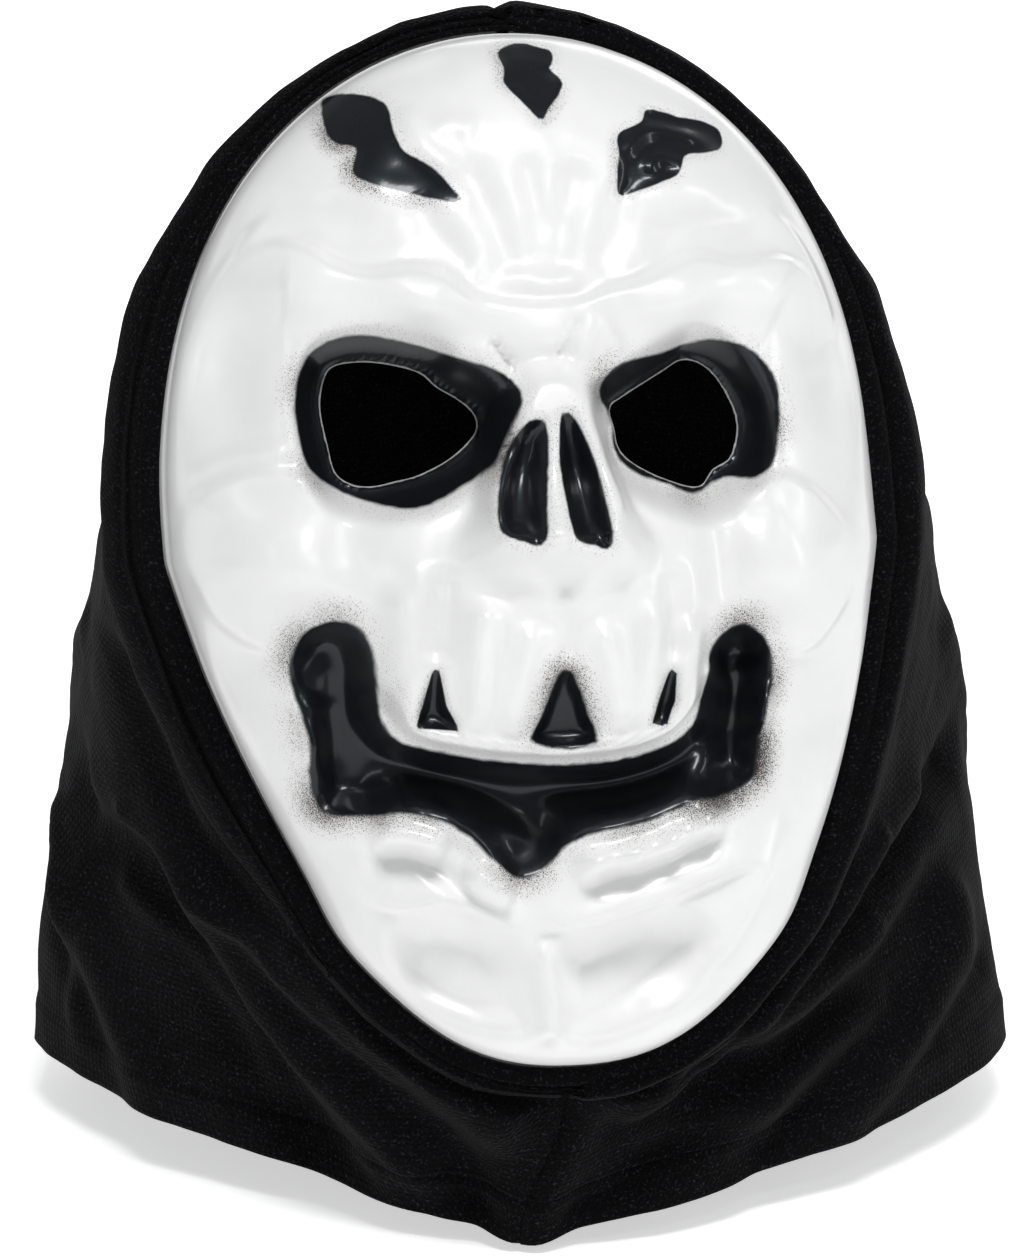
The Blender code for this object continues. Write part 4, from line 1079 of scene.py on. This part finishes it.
def face_finish():
    made, shader = new_material("white plastic with black paint")
    where = node(made, "ShaderNodeTexCoord").outputs["Object"]
    distance = number_at(made, "paint")
    wavy = noise_of(made, where, 320.0, 3.0)
    ragged = sum_of(made, distance, wavy, 0.5)
    covered = ramp(made, ragged, 0.6, 0.0)
    # fine dots outside the edge, fewer with distance
    reach = ramp(made, distance, 5.0, -0.5)
    dots = noise_of(made, where, 3600.0, 1.0)
    amount = product_of(made, reach, number_at(made, "drift"))
    level = sum_of(made, dots, amount, 0.5)
    dotted = product_of(made, ramp(made, level, 0.66, 0.82), ramp(made, amount, 0.02, 0.12))
    haze = ramp(made, amount, 0.0, 1.0, 0.0, 0.85)
    cloudy = ramp(made, noise_of(made, where, 40.0, 4.0), 0.3, 0.7)
    white = blend_colour(made, cloudy, (0.80, 0.80, 0.795, 1.0), (0.84, 0.84, 0.835, 1.0))
    tinted = blend_colour(made, haze, white, SPRAY_HAZE)
    dirty = blend_colour(made, dotted, tinted, SPRAY_DOT)
    black = blend_colour(made, ramp(made, dots, 0.70, 0.80), BLACK_PAINT, BLACK_DUST)
    chipped = sum_of(made, number_at(made, "cut_edge"), noise_of(made, where, 500.0, 2.0), 0.6)
    black = blend_colour(made, ramp(made, chipped, 0.72, 0.5), black, CUT_GREY)
    colour = blend_colour(made, covered, dirty, black)
    plug(made, shader, "Base Color", colour)
    plug(made, shader, "Roughness", ramp(made, covered, 0.0, 1.0, 0.36, 0.42))
    plug(made, shader, "Specular Tint", blend_colour(made, covered, (1.0, 1.0, 1.0, 1.0), PAINT_SHINE))
    plug(made, shader, "IOR", 1.5)
    plug(made, shader, "Specular IOR Level", 0.34)
    plug(made, shader, "Coat Weight", 0.5)
    plug(made, shader, "Coat Roughness", 0.17)
    peel = noise_of(made, where, 180.0, 2.0)
    bump = node(made, "ShaderNodeBump", None, Height=peel, Strength=0.06, Distance=0.0006)
    plug(made, shader, "Normal", bump.outputs[0])
    return made


def bare_finish():
    """The same plastic where no paint reached it: the inner side and the cut edges."""
    made, shader = new_material("bare white plastic")
    where = node(made, "ShaderNodeTexCoord").outputs["Object"]
    cloudy = ramp(made, noise_of(made, where, 60.0, 3.0), 0.3, 0.7)
    plug(made, shader, "Base Color", blend_colour(made, cloudy, (0.78, 0.78, 0.77, 1.0),
                                                  (0.84, 0.84, 0.83, 1.0)))
    plug(made, shader, "Roughness", 0.4)
    grain = noise_of(made, where, 400.0, 2.0)
    bump = node(made, "ShaderNodeBump", None, Height=grain, Strength=0.1, Distance=0.0004)
    plug(made, shader, "Normal", bump.outputs[0])
    return made


skull_face.data.materials.append(face_finish())
skull_face.data.materials.append(bare_finish())
print("materials of the face:", ", ".join(slot.name for slot in skull_face.data.materials))

# %% [markdown]
# The cloth is a fine black knit. Its pattern reads the UV map, in metres, so one loop of the knit is about
# 0.9 mm wide everywhere. Small light fibres stand out of it, and give the grey grain that the photograph
# shows.

# %% Knit
def knit_finish(name, loop_mm):
    made, shader = new_material(name)
    uv = node(made, "ShaderNodeUVMap", {"uv_map": "cloth"}).outputs[0]
    where = node(made, "ShaderNodeTexCoord").outputs["Object"]
    turns = 1000.0 / loop_mm
    ribs, rows = (node(made, "ShaderNodeTexWave", {"bands_direction": along}, Vector=uv, Scale=turns / 6.2832,
                       Distortion=2.0, Detail=1.0).outputs[1] for along in "XY")
    loops = product_of(made, ribs, rows)
    fibre = noise_of(made, where, 1500.0, 3.0)
    worn = noise_of(made, where, 30.0, 3.0)
    base = blend_colour(made, worn, (0.0012, 0.0012, 0.0015, 1.0), (0.0024, 0.0024, 0.003, 1.0))
    grain = blend_colour(made, ramp(made, fibre, 0.55, 0.75), base, (0.022, 0.023, 0.027, 1.0))
    plug(made, shader, "Base Color", grain)
    plug(made, shader, "Roughness", 0.92)
    plug(made, shader, "Specular IOR Level", 0.06)
    plug(made, shader, "Sheen Weight", 0.02)
    plug(made, shader, "Sheen Roughness", 0.5)
    height = sum_of(made, loops, fibre, 0.8)
    bump = node(made, "ShaderNodeBump", None, Height=height, Strength=0.5, Distance=0.0004)
    plug(made, shader, "Normal", bump.outputs[0])
    return made


knit = knit_finish("black knit", 0.9)
for piece in (hood_left, hood_right, edge_strip):
    piece.data.materials.append(knit)
print("material of the cloth:", knit.name)

# %% Telling the frame about the pieces
for piece, solid, slot in (
    (skull_face, "mask_shell", "face_plastic"),
    (hood_left, "hood_left", "hood_fabric"),
    (hood_right, "hood_right", "hood_fabric"),
    (edge_strip, "face_casing", "hood_fabric"),
):
    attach(piece, "root")
    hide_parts(solid)
strip_area = sum(face.area for face in edge_strip.data.polygons)
print("the strip is", round(strip_area / strip_length * 1000.0, 1), "mm wide when it is laid open")

# %% [markdown]
# The photograph is a catalogue picture on white. A pale floor that turns up into a backdrop, a large soft
# light from above and two soft ones from the sides give the same clean look. The floor glows faintly, so it
# stays white in the shade of the hood.

# %% Floor
FLOOR_HEIGHT = -0.2775
FLOOR_REACH = 3.0
FLOOR_FLAT = 4.4           # metres from the front edge to where the backdrop starts to rise


def make_floor():
    bm = bmesh.new()
    bmesh.ops.create_grid(bm, x_segments=2, y_segments=60, size=FLOOR_REACH)
    for vertex in bm.verts:
        run = vertex.co.y + FLOOR_REACH
        bend = max(0.0, run - FLOOR_FLAT)
        turn = min(bend, math.pi / 2.0)
        vertex.co.y = -FLOOR_REACH + min(run, FLOOR_FLAT) + math.sin(turn)
        vertex.co.z = FLOOR_HEIGHT + 1.0 - math.cos(turn) + max(0.0, bend - math.pi / 2.0)
    floor = add_object("floor", bm)
    made, shader = new_material("white paper")
    plug(made, shader, "Base Color", (0.93, 0.93, 0.93, 1.0))
    plug(made, shader, "Roughness", 0.9)
    # The floor's glow is painted light: weaker near the hood, so its shadow shows, and stronger towards the
    # backdrop, so the backdrop stays white.
    plug(made, shader, "Emission Color", (1.0, 1.0, 1.0, 1.0))
    where = node(made, "ShaderNodeTexCoord").outputs["Object"]
    behind = node(made, "ShaderNodeSeparateXYZ", None, Vector=where).outputs["Y"]
    plug(made, shader, "Emission Strength", ramp(made, behind, 0.2, 1.2, 0.55, 0.85))
    floor.data.materials.append(made)
    return floor


print("staged:", make_floor().name)

# %% [markdown]
# A narrow strip light in front draws the small bright lines on the paint, and a light behind parts the hood
# from the backdrop. The sky is dim for light and pale for the camera, so that the backdrop's upper end
# doesn't show.

# %% Lights
MIDDLE = Vector((0.0, -0.06, -0.12))
LIGHTS = [  # name, place, width and height in metres, power in watts
    ("light above", (-0.02, -0.85, 1.32), (0.6, 0.35), 17.3),
    ("light left", (-1.3, -0.6, 0.25), (0.1, 0.8), 1.0),
    ("light right", (1.3, -0.6, 0.3), (0.1, 0.8), 2.2),
    ("strip light in front", (0.25, -1.15, 0.8), (0.5, 0.06), 0.9),
    ("light behind", (0.4, 1.3, 0.5), (1.0, 0.6), 4.5),
]


def add_light(name, place, size, power):
    data = bpy.data.lights.new(name, "AREA")
    data.shape = "RECTANGLE"
    data.size, data.size_y = size
    data.energy = power
    light = bpy.data.objects.new(name, data)
    light.location = place
    light.rotation_euler = (MIDDLE - Vector(place)).to_track_quat("-Z", "Y").to_euler()
    bpy.context.scene.collection.objects.link(light)


for row in LIGHTS:
    add_light(*row)


def make_world():
    """A dim sky that lights the shadows, behind a pale backdrop."""
    world = bpy.data.worlds.new("studio")
    world.use_nodes = True
    tree = world.node_tree
    sky = tree.nodes["Background"]
    sky.inputs["Color"].default_value = (0.95, 0.97, 1.0, 1.0)
    sky.inputs["Strength"].default_value = 0.2
    backdrop = tree.nodes.new("ShaderNodeBackground")
    backdrop.inputs["Color"].default_value = (0.93, 0.93, 0.93, 1.0)
    seen = tree.nodes.new("ShaderNodeLightPath")
    both = tree.nodes.new("ShaderNodeMixShader")
    tree.links.new(seen.outputs["Is Camera Ray"], both.inputs[0])
    tree.links.new(sky.outputs[0], both.inputs[1])
    tree.links.new(backdrop.outputs[0], both.inputs[2])
    tree.links.new(both.outputs[0], tree.nodes["World Output"].inputs["Surface"])
    bpy.context.scene.world = world


make_world()
bpy.context.scene.view_settings.view_transform = "Standard"
print("lights:", len(LIGHTS))

# %% [markdown]
# The camera stands where the photographer's stood, judged from the face: a little left of it, and above.

# %% Camera
CAMERA_TURN = math.radians(-8.0)
CAMERA_RISE = math.radians(17.0)
CAMERA_DISTANCE = 1.35
back = Vector((math.sin(CAMERA_TURN) * math.cos(CAMERA_RISE), -math.cos(CAMERA_TURN) * math.cos(CAMERA_RISE),
               math.sin(CAMERA_RISE)))
across = Vector((math.cos(CAMERA_TURN), math.sin(CAMERA_TURN), 0.0))
upward = back.cross(across)
target = Vector(MASK_CENTRE * MM) - across * 0.0015 - upward * 0.0207
lens = bpy.data.cameras.new("camera")
lens.sensor_fit = "VERTICAL"
lens.sensor_height = 36.0
lens.lens = 152.1
camera = bpy.data.objects.new("camera", lens)
turned = Matrix((across, upward, back)).transposed().to_4x4()
camera.matrix_world = Matrix.Translation(target + back * CAMERA_DISTANCE) @ turned
bpy.context.scene.collection.objects.link(camera)
bpy.context.scene.camera = camera
print("the camera is", CAMERA_DISTANCE, "m from the face")
